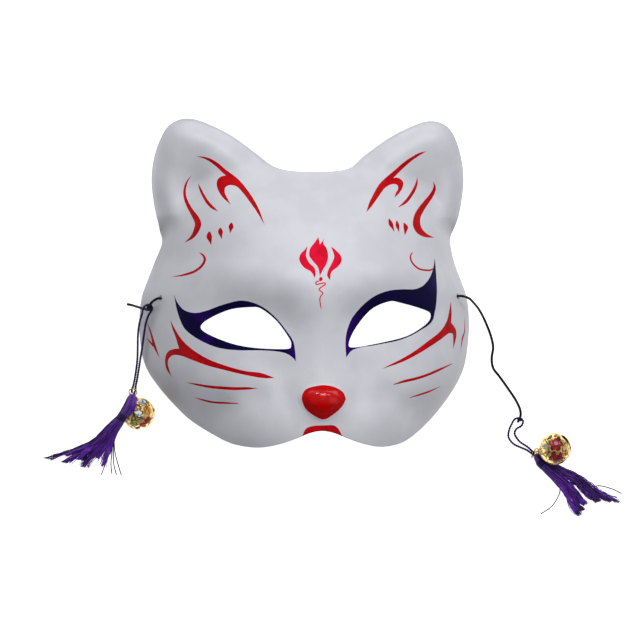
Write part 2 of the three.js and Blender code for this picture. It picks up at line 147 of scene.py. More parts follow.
# %% Routes of the cords
BLACK_DIAMETER, PURPLE_DIAMETER = 1.4, 1.1
ROUTES = {
    "left_cord": [
        (-77.13, -9.47, 24.6), (-78.93, -9.17, 25.8), (-81.91, -9.12, 27.37),
        (-85.25, -11.4, 26.94), (-86.42, -14.86, 23.06), (-88.13, -14.66, 18.99),
        (-89.8, -14.15, 15.2), (-91.46, -13.49, 11), (-93.05, -12.93, 6.4), (-94.57, -12.37, 2.39),
        (-96.41, -11.93, 0.86),
    ],
    "right_cord": [
        (75.82, -8.45, 26.53), (77.72, -8.05, 27.53), (80.76, -7.55, 29.05), (84.71, -8.51, 27.92),
        (89.66, -11.33, 19.21), (95.05, -15.61, 8.91), (99.52, -22.1, 2.8), (102.65, -29.09, 0.8),
        (103.95, -35.27, 0.8), (103.15, -41.56, 0.8), (103.95, -46.76, 0.8), (107.52, -51.55, 0.8),
        (112.59, -58.53, 0.8), (116.96, -65.11, 0.8), (119.14, -70.1, 0.8), (119.24, -73.5, 0.8),
        (117.95, -76.29, 0.8),
    ],
    "left_loop": [
        (-94.74, -59.35, 12.6), (-94.7, -57.55, 11.22), (-93.93, -56.12, 8.18),
        (-93.08, -53.28, 4.57), (-92.15, -48.2, 2.15), (-91.53, -41.97, 3.98), (-91.52, -35.2, 8),
        (-91.63, -29, 12.2), (-91.05, -22.03, 16.98), (-89.94, -17.4, 21.14),
        (-89.1, -13.72, 23.82), (-87.11, -12.39, 23.85), (-85.25, -12.76, 22.9),
        (-84.55, -14.59, 21.71), (-86.4, -17.92, 20.59), (-87.69, -22.32, 17.6),
        (-88.47, -28.47, 14.21), (-89.28, -34.88, 12.18), (-90.13, -41.37, 8),
        (-90.84, -47.91, 3.85), (-91.8, -53.49, 5.23), (-92.59, -56.36, 8.82),
        (-92.74, -58.01, 11.24), (-93.57, -59.57, 12.7),
    ],
    "right_loop": [
        (126.58, -95.02, 2.9), (125.33, -93.95, 2.53), (122.94, -92.14, 0.85),
        (119.73, -90.76, 0.67), (115.23, -88.5, 0.66), (112.63, -84.99, 0.65),
        (112.8, -81.39, 0.67), (114.1, -78.07, 0.82), (115.78, -74.85, 2.47),
        (118.63, -74.36, 2.71), (120.4, -75.95, 1.91), (119.92, -78.52, 0.84),
        (116.99, -80.44, 0.65), (115.96, -82.89, 0.7), (118.8, -87.31, 0.71),
        (123.31, -90.35, 0.84), (126.03, -93.06, 2.49), (127.29, -94.06, 2.9),
    ],
}
lines = {name: smooth_line(route, even=0.5) for name, route in ROUTES.items()}

# %% [markdown]
# ## The mask's form
# The face is a dome: a profile down its middle line, a half width for each height and one
# rounded cross-section. Soft bumps and hollows on it make the eye sockets, cheeks and muzzle.
# The ears are flat sheets with a rolled edge and two shallow hollows. The form could be
# sculpted by hand, but one height for each place in plan keeps both sides alike and gives
# exact normals.

# %% Profiles of the mask
WALL = 1.6
CREST = [(-95, 70.5), (-80, 72.5), (-62, 72), (-40, 68.5), (-15, 64.5), (8, 64), (28, 59.5),
         (46, 48), (60, 31), (75, 9), (92, 1)]
HALF_WIDTH = [(-92, 60), (-83, 66.2), (-74, 70.8), (-65, 77.4), (-55, 83.5), (-45, 87.7),
              (-33, 89.7), (-21, 90.3), (-8, 89), (2, 85.5), (12, 81.8), (22, 79.8),
              (32, 77.6), (45, 72), (60, 61), (75, 44), (92, 24)]
RIM_HEIGHT = [(-74, 28), (-65, 20), (-55, 12), (-47, 5.5), (-40, 0.5), (-36, -1.5), (-20, -1.5),
              (6, -1.5), (10, 0.5), (14, 3), (22, 9)]
DOME_SQUARE, DOME_ROUND = 2.6, 1.6
EAR_OUTLINE = [(0, 58.3), (10, 58.6), (17.5, 59.8), (23, 62.5), (32.5, 70.3), (43, 77.6),
               (54, 83.2), (63, 86.3), (70.3, 86), (76.6, 82), (80.9, 74), (83.7, 64), (84.5, 53),
               (82.8, 39), (80, 28)]
CHEEK_OUTLINE_Y = [21.5, 12, 2, -8, -17, -28, -39, -48, -57, -66, -73.5]
MUZZLE_OUTLINE = [(55, -80), (46, -84.6), (37, -86.4), (29, -86.2), (20, -84), (12, -81),
                  (6, -78.6), (0, -77.6)]
NOSE_OUTLINE = [(0, -53.6), (6.5, -54.6), (11, -57.6), (12, -61.3), (9.6, -65.6),
                (4.5, -69.8), (0, -71.6)]
EAR_SHEET_HEIGHT, EAR_ROLL_DROP, EAR_ROLL_WIDTH, EAR_TILT = 29, 7.2, 7, (-0.2, 0.12)
EAR_LEVEL_WITHIN, EAR_LEVEL_BLEND, EAR_BLEND, EAR_ROOT_DROP, NOSE_RISE = 40, 10, 12, 50, 4.4
NOSE_DOME = (0, -60.6, 9, 7.5, 0.45)
# Long soft hollows of the ears: x, y, spread along, spread across, turn in degrees, height
EAR_HOLLOWS = [(60.6, 40, 26, 8.9, 81, -6), (72, 52, 8, 20, -25, -2)]
BRIDGE_HEIGHT, BRIDGE_SPREAD = 4.2, 14
# Soft forms of the face: x, y, spread in x, spread in y, height
FACE_FORMS = [(0, -4.5, 42, 17, 8.5), (34, 4, 22, 9, 1.5), (0, 30, 30, 14, -1),
              (40, -17, 24, 12, -2.8), (19, -24, 9, 12, -1.8), (60, -48, 20, 14, 0.8),
              (24, -46, 10, 9, -1.9), (34, -60, 10, 8, -2.2), (50, -67, 12, 8, -3),
              (28, -74, 17, 12, 1.8), (18, -60, 6, 9, -1.2)]
LEFT_EYE = [(-61.4, -23.6), (-56.6, -19.4), (-46.3, -15.1), (-36.2, -13.9), (-30.6, -14.7),
            (-22.5, -21.1), (-16.5, -29.6), (-15.5, -33.3), (-17.6, -35.3), (-32.5, -34.9),
            (-45.3, -32.6), (-57.9, -27.4)]
RIGHT_EYE = [(14.8, -32.3), (18.8, -24.4), (26.9, -15.1), (36.7, -10.9), (43.5, -11.6),
            (59, -15.4), (62, -18.2), (58.8, -22.5), (47.4, -28.5), (33, -32), (17.2, -34.6)]
CORD_HOLES = [(-80.4, -8.9), (79.2, -7.7)]
HOLE_RADIUS = 1.4


def through_points(points):
    """A smooth curve through (at, value) points."""
    at, value = np.array(points, float).T
    index = np.arange(len(at))
    before, after = np.maximum(index - 1, 0), np.minimum(index + 1, len(at) - 1)
    slope = (value[after] - value[before]) / (at[after] - at[before])

    def curve(a):
        k = np.clip(np.searchsorted(at, a) - 1, 0, len(at) - 2)
        span = at[k + 1] - at[k]
        t = np.clip((a - at[k]) / span, 0, 1)
        return ((2 * t**3 - 3 * t**2 + 1) * value[k] + (t**3 - 2 * t**2 + t) * span * slope[k]
                + (3 * t**2 - 2 * t**3) * value[k + 1] + (t**3 - t**2) * span * slope[k + 1])
    return curve


crest, half_width, rim_height = map(through_points, (CREST, HALF_WIDTH, RIM_HEIGHT))


def mirrored(half):
    return half + [(-x, y) for x, y in reversed(half[1:-1])]


def cheek_x(y):
    share = rim_height(y) / crest(y)
    v = 1 - np.sign(share) * np.abs(share) ** DOME_ROUND
    return half_width(y) * v ** (1 / DOME_SQUARE)


right_half = EAR_OUTLINE + [(float(cheek_x(y)), y) for y in CHEEK_OUTLINE_Y] + MUZZLE_OUTLINE
outline = smooth_line(mirrored(right_half), closed=True, centripetal=False)
nose_outline = smooth_line(mirrored(NOSE_OUTLINE), closed=True, centripetal=False)
print("outline:", len(outline), "points,", np.round(outline.min(0), 1), np.round(outline.max(0), 1))


# %% Distances in plan
def distance_to(loop, x, y):
    """Distance in plan from each place to a closed line."""
    a, b = loop, np.roll(loop, -1, 0)
    d = b - a
    found = np.empty(len(x))
    for start in range(0, len(x), 4000):
        part = slice(start, start + 4000)
        px, py = x[part, None] - a[None, :, 0], y[part, None] - a[None, :, 1]
        t = np.clip((px * d[:, 0] + py * d[:, 1]) / (d**2).sum(1), 0, 1)
        found[part] = np.hypot(px - t * d[:, 0], py - t * d[:, 1]).min(1)
    return found


def is_inside(loop, x, y):
    a, b = loop, np.roll(loop, -1, 0)
    inside = np.zeros(len(x), bool)
    for (ax, ay), (bx, by) in zip(a, b):
        crosses = (ay > y) != (by > y)
        if crosses.any():
            inside ^= crosses & (x < (bx - ax) * (y - ay) / (by - ay if by != ay else 1) + ax)
    return inside


# %% Height and normal of the mask's face
def face_height(x, y):
    side = np.abs(x)
    v = 1 - (side / half_width(y)) ** DOME_SQUARE
    z = crest(y) * np.sign(v) * np.abs(v) ** (1 / DOME_ROUND)
    for cx, cy, spread_x, spread_y, height in FACE_FORMS:
        z = z + height * np.exp(-((side - cx) / spread_x) ** 2 - ((y - cy) / spread_y) ** 2)
    return z + (BRIDGE_HEIGHT * np.exp(-(x / BRIDGE_SPREAD) ** 2)
                * smooth_step(4, -26, y) * smooth_step(-76, -60, y))


def ear_height(x, y):
    side = np.abs(x)
    on_ear = smooth_step(16, 32, side) * smooth_step(18, 36, y)
    form = np.zeros(len(x))
    near = on_ear > 0
    if near.any():
        inset = distance_to(outline, x[near], y[near])
        form[near] = -EAR_ROLL_DROP * np.exp(-(inset / EAR_ROLL_WIDTH) ** 2)
    for cx, cy, spread_along, spread_across, degrees, height in EAR_HOLLOWS:
        c, s = math.cos(math.radians(degrees)), math.sin(math.radians(degrees))
        along, across = (side - cx) * c + (y - cy) * s, (y - cy) * c - (side - cx) * s
        form += height * np.exp(-(along / spread_along) ** 2 - (across / spread_across) ** 2)
    beside = side - EAR_LEVEL_WITHIN
    far = EAR_LEVEL_WITHIN + (beside + np.hypot(beside, EAR_LEVEL_BLEND)) / 2
    sheet = EAR_SHEET_HEIGHT + EAR_TILT[0] * (far - 60) + EAR_TILT[1] * (y - 50)
    return sheet - EAR_ROOT_DROP * smooth_step(36, 4, y) + form * on_ear


def nose_lift(x, y):
    lift = np.zeros(len(x))
    near = (np.abs(x) < 16) & (y < -48) & (y > -76)
    if near.any():
        depth = distance_to(nose_outline, x[near], y[near])
        depth[~is_inside(nose_outline, x[near], y[near])] *= -1
        cx, cy, spread_x, spread_y, share = NOSE_DOME
        dome = np.exp(-((x[near] - cx) / spread_x) ** 2 - ((y[near] - cy) / spread_y) ** 2)
        lift[near] = NOSE_RISE * smooth_step(-1, 5, depth) * (1 - share + share * dome)
    return lift


def mask_height(x, y):
    x, y = np.atleast_1d(x).astype(float), np.atleast_1d(y).astype(float)
    a, b = face_height(x, y), ear_height(x, y)
    h = np.maximum(EAR_BLEND - np.abs(a - b), 0) / EAR_BLEND
    return np.maximum(a, b) + h * h * EAR_BLEND / 4 + nose_lift(x, y)


def mask_normal(x, y, step=0.05):
    dx = (mask_height(x + step, y) - mask_height(x - step, y)) / (2 * step)
    dy = (mask_height(x, y + step) - mask_height(x, y - step)) / (2 * step)
    return unit(np.stack([-dx, -dy, np.ones(len(dx))], 1))


def mask_place(plan):
    """Places on the mask's face, and the way that the face looks there."""
    x, y = plan[:, 0], plan[:, 1]
    return np.stack([x, y, mask_height(x, y)], 1), mask_normal(x, y)


print("height at the nose:", round(float(mask_height(0, -60)[0]), 1), "mm")


# %% From the picture to the mask
def on_level(pixels, z):
    """Points at heights z under pixels of the picture."""
    pixels = np.asarray(pixels, float)
    across, down = (pixels[:, :2] - PHOTO_SIZE / 2).T / FOCAL_PIXELS
    ray = look + across[:, None] * right - down[:, None] * up
    return eye + ray * ((np.asarray(z, float) - eye[2]) / ray[:, 2])[:, None]


def on_mask(pixels):
    """The places in plan where lines of sight through the picture's pixels meet the mask."""
    z = np.full(len(pixels), 50.0)
    for _ in range(60):
        place = on_level(pixels, z)
        z = 0.5 * z + 0.5 * np.clip(mask_height(place[:, 0], place[:, 1]), -5, 90)
    return place[:, :2]


# %% [markdown]
# ## Painted strokes
# The real strokes are flat paint with crisp edges, pointed where the brush lifts.
# They could be a picture wrapped on the mask, or a mask computed in the shader. Here each
# stroke's edge becomes an edge of the mesh instead, so that the paint is a group of faces
# with its own material and stays crisp at any distance.
# A plain stroke is a centre line with a width at each point. A bigger shape is an outline
# made of smooth runs that meet in sharp corners. All are placed in the picture's pixels.

# %% Strokes: centre line points as (x, y, width)
STROKES = {
    "left_ear_arch": [
        (195.6, 156, 0), (206.1, 158.3, 2.3), (215.7, 163.7, 3.8), (224.3, 171.3, 4.4),
        (229, 175.1, 5), (236.7, 181.8, 6), (244.4, 190.4, 5.4), (252, 201, 4.6),
        (257.8, 210.5, 3.2), (264.5, 224.9, 0)],
    "left_ear_short": [
        (198.1, 182.8, 0), (200, 188.5, 1.9), (203.2, 195.2, 2.7), (208, 202.9, 3.1),
        (212.8, 207.7, 2.8), (218.5, 211.5, 0)],
    "left_ear_swirl": [
        (191.7, 175.1, 0), (187, 181.8, 1.6), (184.7, 189.5, 2.4), (185, 197.1, 3),
        (187.9, 204.8, 3.6), (192.3, 212.4, 4.6), (196.5, 219.1, 6), (198.1, 223.9, 6.4),
        (196.5, 229.7, 5.6), (192.7, 236.4, 3.6), (184.1, 243, 0)],
    "left_drop_1": [(209.5, 231.6, 1.6), (209.2, 236.4, 5.6), (210.2, 240.8, 3), (211.3, 245.2, 0)],
    "left_drop_2": [(220.4, 227.9, 1.6), (220.4, 231.6, 4.9), (221, 235.5, 2.6), (221.8, 239.3, 0)],
    "left_drop_3": [(231.5, 222.8, 1.6), (231, 226.8, 5), (230.5, 230, 2.6), (230, 233.6, 0)],
    "left_ear_curl": [
        (199.4, 252.6, 0.6), (203.2, 255.5, 2.1), (204.8, 259.3, 2.5), (202.3, 265.1, 2.5),
        (195.6, 270.8, 2.4), (185, 274.6, 2.1), (170.7, 277.1, 0)],
    "right_ear_arch": [
        (426.6, 151.3, 0), (420.5, 153.6, 2.1), (412.5, 158.3, 3.1), (404.5, 164.3, 4.1),
        (396.4, 171.7, 4.6), (388.4, 179.1, 5.6), (381.7, 186.4, 6.5), (375.7, 195.8, 5.5),
        (371, 203.8, 4), (366.3, 212.5, 0)],
    "right_ear_short": [
        (417.2, 177.1, 0), (416.8, 182.4, 2), (414.5, 189.1, 3), (410.5, 195.8, 3.1),
        (405.8, 201.8, 3), (398.4, 207.2, 0.6)],
    "right_ear_swirl": [
        (433.3, 181.1, 0), (434.6, 187.8, 2.5), (431.9, 194.5, 4), (426.6, 201.8, 5),
        (421.2, 209.2, 6), (417.2, 217.2, 6.8), (416.8, 225.3, 7.5), (419.9, 231.3, 6.5),
        (425.9, 235.3, 4), (434.3, 237.7, 0)],
    "right_drop_1": [(389, 218.9, 1.2), (390.8, 223.9, 4.2), (392.6, 227.6, 2.4), (394.4, 232, 0)],
    "right_drop_2": [
        (396.7, 220.8, 1.2), (397.5, 225.3, 3.7), (398.3, 228.8, 2), (399.1, 232.6, 0)],
    "right_drop_3": [(403.8, 223, 1.2), (405.8, 227.3, 4.6), (405.4, 231, 2.8), (404.7, 235.6, 0)],
    "right_ear_curl": [
        (412.5, 252.4, 1), (410.5, 256.1, 1.5), (411.2, 260.8, 1.6), (414.5, 265.4, 1.6),
        (419.2, 268.8, 1.7), (424.5, 270.1, 1.8), (430.6, 270.1, 1.7), (433.4, 268.6, 1.4)],
    "left_whisker_2": [
        (185.5, 382.4, 0), (196.3, 384.4, 1.8), (209.1, 386.7, 2.6), (221.8, 387.9, 3),
        (234.6, 388.6, 3), (247.3, 388.4, 2.5), (258.2, 388.4, 0)],
    "left_whisker_3": [
        (193.4, 397.1, 0), (202.7, 399.9, 1.5), (212.9, 402.2, 1.9), (224.4, 402.9, 1.9),
        (238.4, 403.5, 0.8)],
    "left_side_mark": [
        (147.1, 322.6, 0), (149.8, 329.5, 1.4), (151.9, 336.5, 1.9), (154, 344.5, 2.7),
        (156.8, 351.6, 1.6), (159.6, 358, 0)],
    "left_side_branch": [(146, 337.5, 0), (149.8, 341.6, 1.4), (153.6, 346.1, 2)],
    "right_whisker_2": [
        (393.5, 384.6, 0.8), (404.6, 381.2, 2.5), (414.8, 378.9, 2.7), (427.6, 374.8, 2.5),
        (439, 369.9, 2.3), (452.2, 363.7, 0.6)],
    "right_whisker_3": [
        (409.4, 397.8, 0.5), (419.9, 394.6, 1.7), (430.1, 391.1, 1.6), (441.6, 385.6, 0)],
    "right_side_mark": [
        (464.4, 316, 0), (464.5, 331.4, 1), (462.6, 337.8, 1.5), (460.5, 351, 0)],
    "flame_tail_dot": [(320.9, 277, 1.6), (320.9, 279, 3.8), (319.8, 281, 1.5)],
    "flame_tail": [
        (319.1, 281, 1.3), (315.9, 282.3, 1.3), (316.6, 284.5, 1.3), (320.4, 283.6, 1.3),
        (324.9, 283, 1.3), (325.5, 284.2, 1.3), (321.7, 286.8, 1.3), (318.9, 289.6, 1.3),
        (321, 291.3, 1.3), (323, 293.4, 1.3), (321, 295.7, 1.2), (319.8, 299.5, 1.2),
        (320.4, 304, 1.1), (321, 309.1, 0.6)],
}

# %% Outlined shapes: smooth runs that share their corner points
OUTLINED = {
    "left_liner": [
        [(174, 294.4), (177.2, 302.1), (183.6, 309.7), (193.8, 312.9), (205.3, 311),
         (219.3, 305.9), (232, 302.1), (241, 300.6), (251.2, 302.1), (263.9, 307.8),
         (276.7, 318.7), (286.9, 331.4), (293.3, 341.6), (295.2, 351.8), (295.8, 361.5)],
        [(295.8, 361.5), (293.3, 358.2), (286.9, 353.8), (278, 351.6), (257.6, 350.3),
         (238.4, 350.3), (219.3, 348), (206.5, 343.5), (193.8, 336.5), (184.8, 328.9),
         (179.7, 318.7), (176.6, 308.5), (174, 294.4)]],
    "right_liner": [
        [(434.9, 258.1), (432.7, 270.2), (428.8, 279.1), (422.4, 286.1), (414.8, 289.1),
         (402, 289.3), (389.3, 290.6), (376.5, 295.1), (366.3, 302.1), (357.4, 311),
         (351, 320), (346.6, 332.7), (345.5, 341.6), (346.2, 357.6)],
        [(346.2, 357.6), (351, 351.2), (356.1, 348.6), (363.8, 346.7), (370.4, 346),
         (383.2, 343.6), (396.2, 341), (409.2, 336.5), (421, 330), (428.8, 324.8),
         (433.2, 319.5), (434.2, 314.8), (435.8, 307.2), (437, 292), (436.5, 279.1),
         (434.9, 258.1)]],
    "left_ear_hook": [
        [(231, 204.8), (224.3, 199.1), (220.4, 194.3), (217.2, 187.6), (216.8, 181.8),
         (219.5, 177.4), (225.2, 175.5), (229, 176)],
        [(229, 176), (238, 185), (239.6, 188.5)],
        [(239.6, 188.5), (234.8, 185.7), (229, 185.3), (225.2, 187.6), (224.8, 192.4),
         (227.7, 199.1), (231, 204.8)]],
    "right_ear_hook": [
        [(390, 178.9), (395.8, 177.5), (400.4, 178.9), (403.3, 182.4), (402.7, 187.1),
         (399.3, 193.1), (394.4, 197.8)],
        [(394.4, 197.8), (395.8, 193.1), (398, 189.1), (397.6, 185.4), (393.8, 184),
         (388.4, 185.6), (382.4, 190.2)],
        [(382.4, 190.2), (390, 178.9)]],
    "left_fork": [
        [(170.2, 319.7), (174.1, 327.4), (181.2, 338.8), (191.5, 348.8), (206.8, 358.3),
         (226, 365.8), (245, 370.9), (261.4, 373), (274.8, 378)],
        [(274.8, 378), (263.9, 378.2), (244.8, 374.9), (225.7, 370.4), (206.5, 365.3),
         (191.2, 359.6), (181, 355.8), (173.4, 355.1), (169.1, 358.3), (167.8, 363.3),
         (169.7, 371), (172.1, 377.3)],
        [(172.1, 377.3), (166.2, 368.4), (165.2, 358.2), (168.1, 351.5), (174.4, 348.9),
         (179.1, 348.6)],
        [(179.1, 348.6), (175.3, 336.5), (172.1, 327.6), (170.2, 319.7)]],
    "right_fork": [
        [(450.9, 300.8), (451.6, 313.6), (451.2, 322.5)],
        [(451.2, 322.5), (455.6, 328.9), (456.3, 336.5), (453.1, 349.3)],
        [(453.1, 349.3), (453.2, 340.5), (452.4, 333.6), (449.4, 333.2), (440.6, 339.6),
         (428, 348), (415.2, 355.6), (402.3, 362), (381.6, 369.1)],
        [(381.6, 369.1), (389.3, 365), (402, 358.7), (414.8, 351), (427.6, 341.4),
         (440.3, 331.2), (446.7, 321.2), (449.2, 311), (450.9, 300.8)]],
    "flame_left": [
        [(307.5, 245.7), (304.6, 249.8), (300.2, 254.5), (299.4, 260.3), (303.6, 267.1),
         (311.2, 272), (314.8, 278.2)],
        [(314.8, 278.2), (315.6, 273.7), (314.3, 267.9), (309.5, 263.1), (306.1, 256.5),
         (306.6, 250.7), (307.5, 245.7)]],
    "flame_middle": [
        [(318.4, 237), (314.2, 243.1), (310, 248.8), (309.3, 255.5), (313.1, 261.3),
         (317.9, 267.2), (319.9, 275.8)],
        [(319.9, 275.8), (322.9, 269.9), (326.7, 263.2), (328.1, 256.5), (326.7, 248.7),
         (323.3, 243), (324.3, 238.6)],
        [(324.3, 238.6), (319.9, 244.6)],
        [(319.9, 244.6), (318.4, 237)]],
    "flame_right": [
        [(331, 246.3), (336.3, 250.6), (341.1, 256.5), (341.1, 262.3), (337.3, 267.2),
         (331.5, 272), (330, 280.2)],
        [(330, 280.2), (327.1, 275.6), (328.4, 269.8), (332.3, 262.2), (334.2, 256.5),
         (332.7, 250.8), (331, 246.3)]],
    "mouth": [
        [(302.8, 435), (304.2, 431.2), (306.6, 428.2), (312.8, 426), (323, 425.4), (334.4, 425.6),
         (338.5, 428.9), (341.7, 435)],
        [(341.7, 435), (341.7, 446)], [(341.7, 446), (302.8, 446)], [(302.8, 446), (302.8, 435)]],
    "nose": [
        [(301.6, 399.4), (302.4, 394.4), (305.2, 389.9), (309.6, 387.6), (315.9, 386),
         (325.1, 385.2), (335.8, 387.5), (343.6, 392.9), (345.9, 399.2)],
        [(345.9, 399.2), (341.9, 406.7), (331.2, 415.9), (323.6, 419.5), (314.4, 415.9),
         (305.2, 408.3), (301.6, 399.4)]],
}
STROKE_PIXELS = 1.0


def stroke_outline(points):
    """The closed edge of a brush stroke with the widths given along its centre line."""
    line = smooth_line(points, even=STROKE_PIXELS)
    way = np.gradient(line[:, :2], axis=0)
    side = unit(np.stack([-way[:, 1], way[:, 0]], 1)) * line[:, 2:] / 2
    left, back = line[:, :2] + side, (line[:, :2] - side)[::-1]
    return np.vstack([left, back[1:] if line[-1, 2] < 0.2 else back])


def outlined_shape(runs):
    return np.vstack([smooth_line(run, even=STROKE_PIXELS)[:-1] for run in runs])


PAINT_OF = {"left_liner": "liner", "right_liner": "liner", "nose": "nose"}
painted = []
for name, points in STROKES.items():
    paint = "flame" if name.startswith("flame") else "red"
    painted.append((paint, on_mask(stroke_outline(points))))
for name, runs in OUTLINED.items():
    paint = PAINT_OF.get(name, "flame" if name.startswith("flame") else "red")
    painted.append((paint, on_mask(outlined_shape(runs))))
print(len(painted), "painted shapes with", sum(len(loop) for _, loop in painted), "edge points")

# %% [markdown]
# ## A thin shell from a flat plan
# The mask and the bells are both thin walls with a rounded edge, and with paint whose
# edges must be crisp. Solidify and Bevel could make the wall and the edge, but they know
# nothing of the paint. So each shell is drawn flat first, as a plan filled with triangles
# that follow the rim, the openings and the paint. The plan is then laid on the real form,
# a second skin goes one wall thickness below it and rounded strips join the two.


# %% Filling a plan with triangles
def lattice(loop, spacing):
    """A grid of equal triangles' corners over the box of a loop."""
    low, high = loop.min(0), loop.max(0)
    rows = np.arange(low[1], high[1], spacing * math.sqrt(3) / 2)
    columns = np.arange(low[0], high[0], spacing)
    x, y = np.meshgrid(columns, rows)
    x = x + (np.arange(len(rows)) % 2)[:, None] * spacing / 2
    return np.stack([x.ravel(), y.ravel()], 1)


def keep_clear(points, others, distance):
    tree = KDTree(len(others))
    for i, (x, y) in enumerate(others):
        tree.insert((x, y, 0), i)
    tree.balance()
    return points[[tree.find((x, y, 0))[2] > distance for x, y in points]]


def fill_plan(loops, lines, spacing):
    """Triangles inside the first loop and outside the others. They follow every line."""
    fixed = np.vstack(loops + lines)
    edges, start = [], 0
    for line in loops + lines:
        count = len(line)
        edges += [(start + i, start + (i + 1) % count) for i in range(count)]
        start += count
    inner = lattice(loops[0], spacing)
    inner = inner[is_inside(loops[0], *inner.T)]
    for hole in loops[1:]:
        inner = inner[~is_inside(hole, *inner.T)]
    inner = keep_clear(inner, fixed, spacing * 0.6)
    corners = [Vector(p) for p in np.vstack([fixed, inner])]
    made = delaunay_2d_cdt(corners, edges, [], 1, 1e-7)
    plan = np.array([tuple(v) for v in made[0]])
    faces = np.array([face for face in made[2] if len(face) == 3])
    middle = plan[faces].mean(1)
    keep = is_inside(loops[0], *middle.T)
    for hole in loops[1:]:
        keep &= ~is_inside(hole, *middle.T)
    faces = faces[keep]
    a, b, c = plan[faces].transpose(1, 0, 2)
    turned = np.cross(b - a, c - a) < 0
    faces[turned] = faces[turned][:, ::-1]
    used, faces = np.unique(faces, return_inverse=True)
    return plan[used], faces.reshape(-1, 3)


def open_edges(faces):
    """The chains of corners along the open edges of a set of triangles."""
    pairs = np.vstack([faces[:, [0, 1]], faces[:, [1, 2]], faces[:, [2, 0]]])
    known = set(map(tuple, pairs.tolist()))
    after = {a: b for a, b in known if (b, a) not in known}
    chains = []
    while after:
        start, chain = next(iter(after)), []
        while start in after:
            chain.append(start)
            start = after.pop(start)
        chains.append(np.array(chain))
    return sorted(chains, key=len, reverse=True)


# %% Rows beside a rim, at real distances along the form
def rows_inside(loop, place, distances, reach=4.0):
    """Copies of a loop moved inwards until each is a real distance away over the form."""
    ahead, behind = np.roll(loop, -1, 0), np.roll(loop, 1, 0)
    way = unit(ahead - behind)
    area = np.cross(loop, ahead).sum()
    inwards = np.stack([-way[:, 1], way[:, 0]], 1) * np.sign(area)
    insets = np.concatenate([[0], np.geomspace(0.004, reach, 70)])
    plan = loop[:, None] + inwards[:, None] * insets[None, :, None]
    points = place(plan.reshape(-1, 2))[0].reshape(len(loop), len(insets), 3)
    steps = np.linalg.norm(np.diff(points, axis=1), axis=2)
    gone = np.concatenate([np.zeros((len(loop), 1)), np.cumsum(steps, 1)], 1)
    rows = []
    for distance in distances:
        inset = np.array([np.interp(distance, g, insets) for g in gone])
        rows.append(loop + inwards * inset[:, None])
    return rows


# %% The shell itself
STRIP_ANGLES = (22.5, 45, 67.5, 90)
STRIP_ROWS = [(a, True) for a in STRIP_ANGLES] + [(a, False) for a in STRIP_ANGLES[::-1]]


def thin_shell(name, loops, place, wall, rounding, paints, spacing, row_distances, floor=None):
    """A closed thin wall. paints is a list of (material number, closed line in plan)."""
    rows = rows_inside(loops[0], place, row_distances)
    lines = rows + [line for _, line in paints]
    plan, faces = fill_plan(loops, lines, spacing)
    chains = open_edges(faces)
    coarse = rows_inside(loops[0], place, row_distances[1::2])
    plan_in, faces_in = fill_plan([plan[c] for c in chains], coarse, spacing * 2.4)

    outer, outer_normal = place(plan)
    lined, inner_normal = place(plan_in)
    inner = lined - inner_normal * wall
    number = np.zeros(len(faces), int)
    middle = plan[faces].mean(1)
    for material, line in paints:
        number[is_inside(line, *middle.T)] = material
    paint_at_edge = {}
    for face, material in zip(faces.tolist(), number.tolist()):
        for a, b in zip(face, face[1:] + face[:1]):
            paint_at_edge[a, b] = material

    points, normals = [outer.copy(), inner.copy()], [outer_normal, -inner_normal]
    all_faces = [faces, faces_in[:, ::-1] + len(outer)]
    all_numbers = [number, np.zeros(len(faces_in), int)]
    count = len(outer) + len(inner)
    where_in = {tuple(np.round(p, 5)): i for i, p in enumerate(plan_in)}
    for chain in chains:
        match = np.array([where_in[tuple(np.round(p, 5))] for p in plan[chain]])
        edge = outer[chain]
        along = unit(np.roll(edge, -1, 0) - np.roll(edge, 1, 0))
        normal = outer_normal[chain]
        away = unit(np.cross(along, normal))
        r = rounding[0] if chain is chains[0] else rounding[1]
        root = edge - away * r
        points[0][chain] = root
        points[1][match] = root - normal * wall
        for degrees, is_outer in STRIP_ROWS:
            s, c = math.sin(math.radians(degrees)), math.cos(math.radians(degrees))
            depth = r * (1 - c) if is_outer else wall - r * (1 - c)
            points.append(root + away * r * s - normal * depth)
            normals.append(away * s + normal * (c if is_outer else -c))
        n, rows_added = len(chain), len(STRIP_ROWS)
        ids = [chain, *(count + k * n + np.arange(n) for k in range(rows_added)),
               match + len(outer)]
        count += rows_added * n
        paint = np.array([paint_at_edge[a, b] for a, b in zip(chain, np.roll(chain, -1))])
        for upper, lower in zip(ids, ids[1:]):
            a, b = upper, np.roll(upper, -1)
            c, d = np.roll(lower, -1), lower
            all_faces += [np.stack([a, c, b], 1), np.stack([a, d, c], 1)]
            all_numbers += [paint, paint]
    points, normals = np.vstack(points), unit(np.vstack(normals))
    if floor is not None:
        points[:, 2] = np.maximum(points[:, 2], floor)
    return make_mesh(name, points, np.vstack(all_faces), np.concatenate(all_numbers), normals)


def make_mesh(name, points, faces, numbers=None, normals=None, uv=None):
    """An object from points in millimetres. Its place is in its mesh, in metres."""
    mesh = bpy.data.meshes.new(name)
    faces = [tuple(int(corner) for corner in face) for face in faces]
    mesh.from_pydata((np.asarray(points) * MM).tolist(), [], faces)
    if numbers is not None:
        mesh.polygons.foreach_set("material_index", np.asarray(numbers, np.int32))
    mesh.polygons.foreach_set("use_smooth", [True] * len(mesh.polygons))
    if uv is not None:
        layer = mesh.uv_layers.new(name="length_and_turn")
        layer.data.foreach_set("uv", np.asarray(uv, np.float32).ravel())
    if normals is not None:
        mesh.normals_split_custom_set_from_vertices(normals.tolist())
    obj = bpy.data.objects.new(name, mesh)
    bpy.context.scene.collection.objects.link(obj)
    return obj


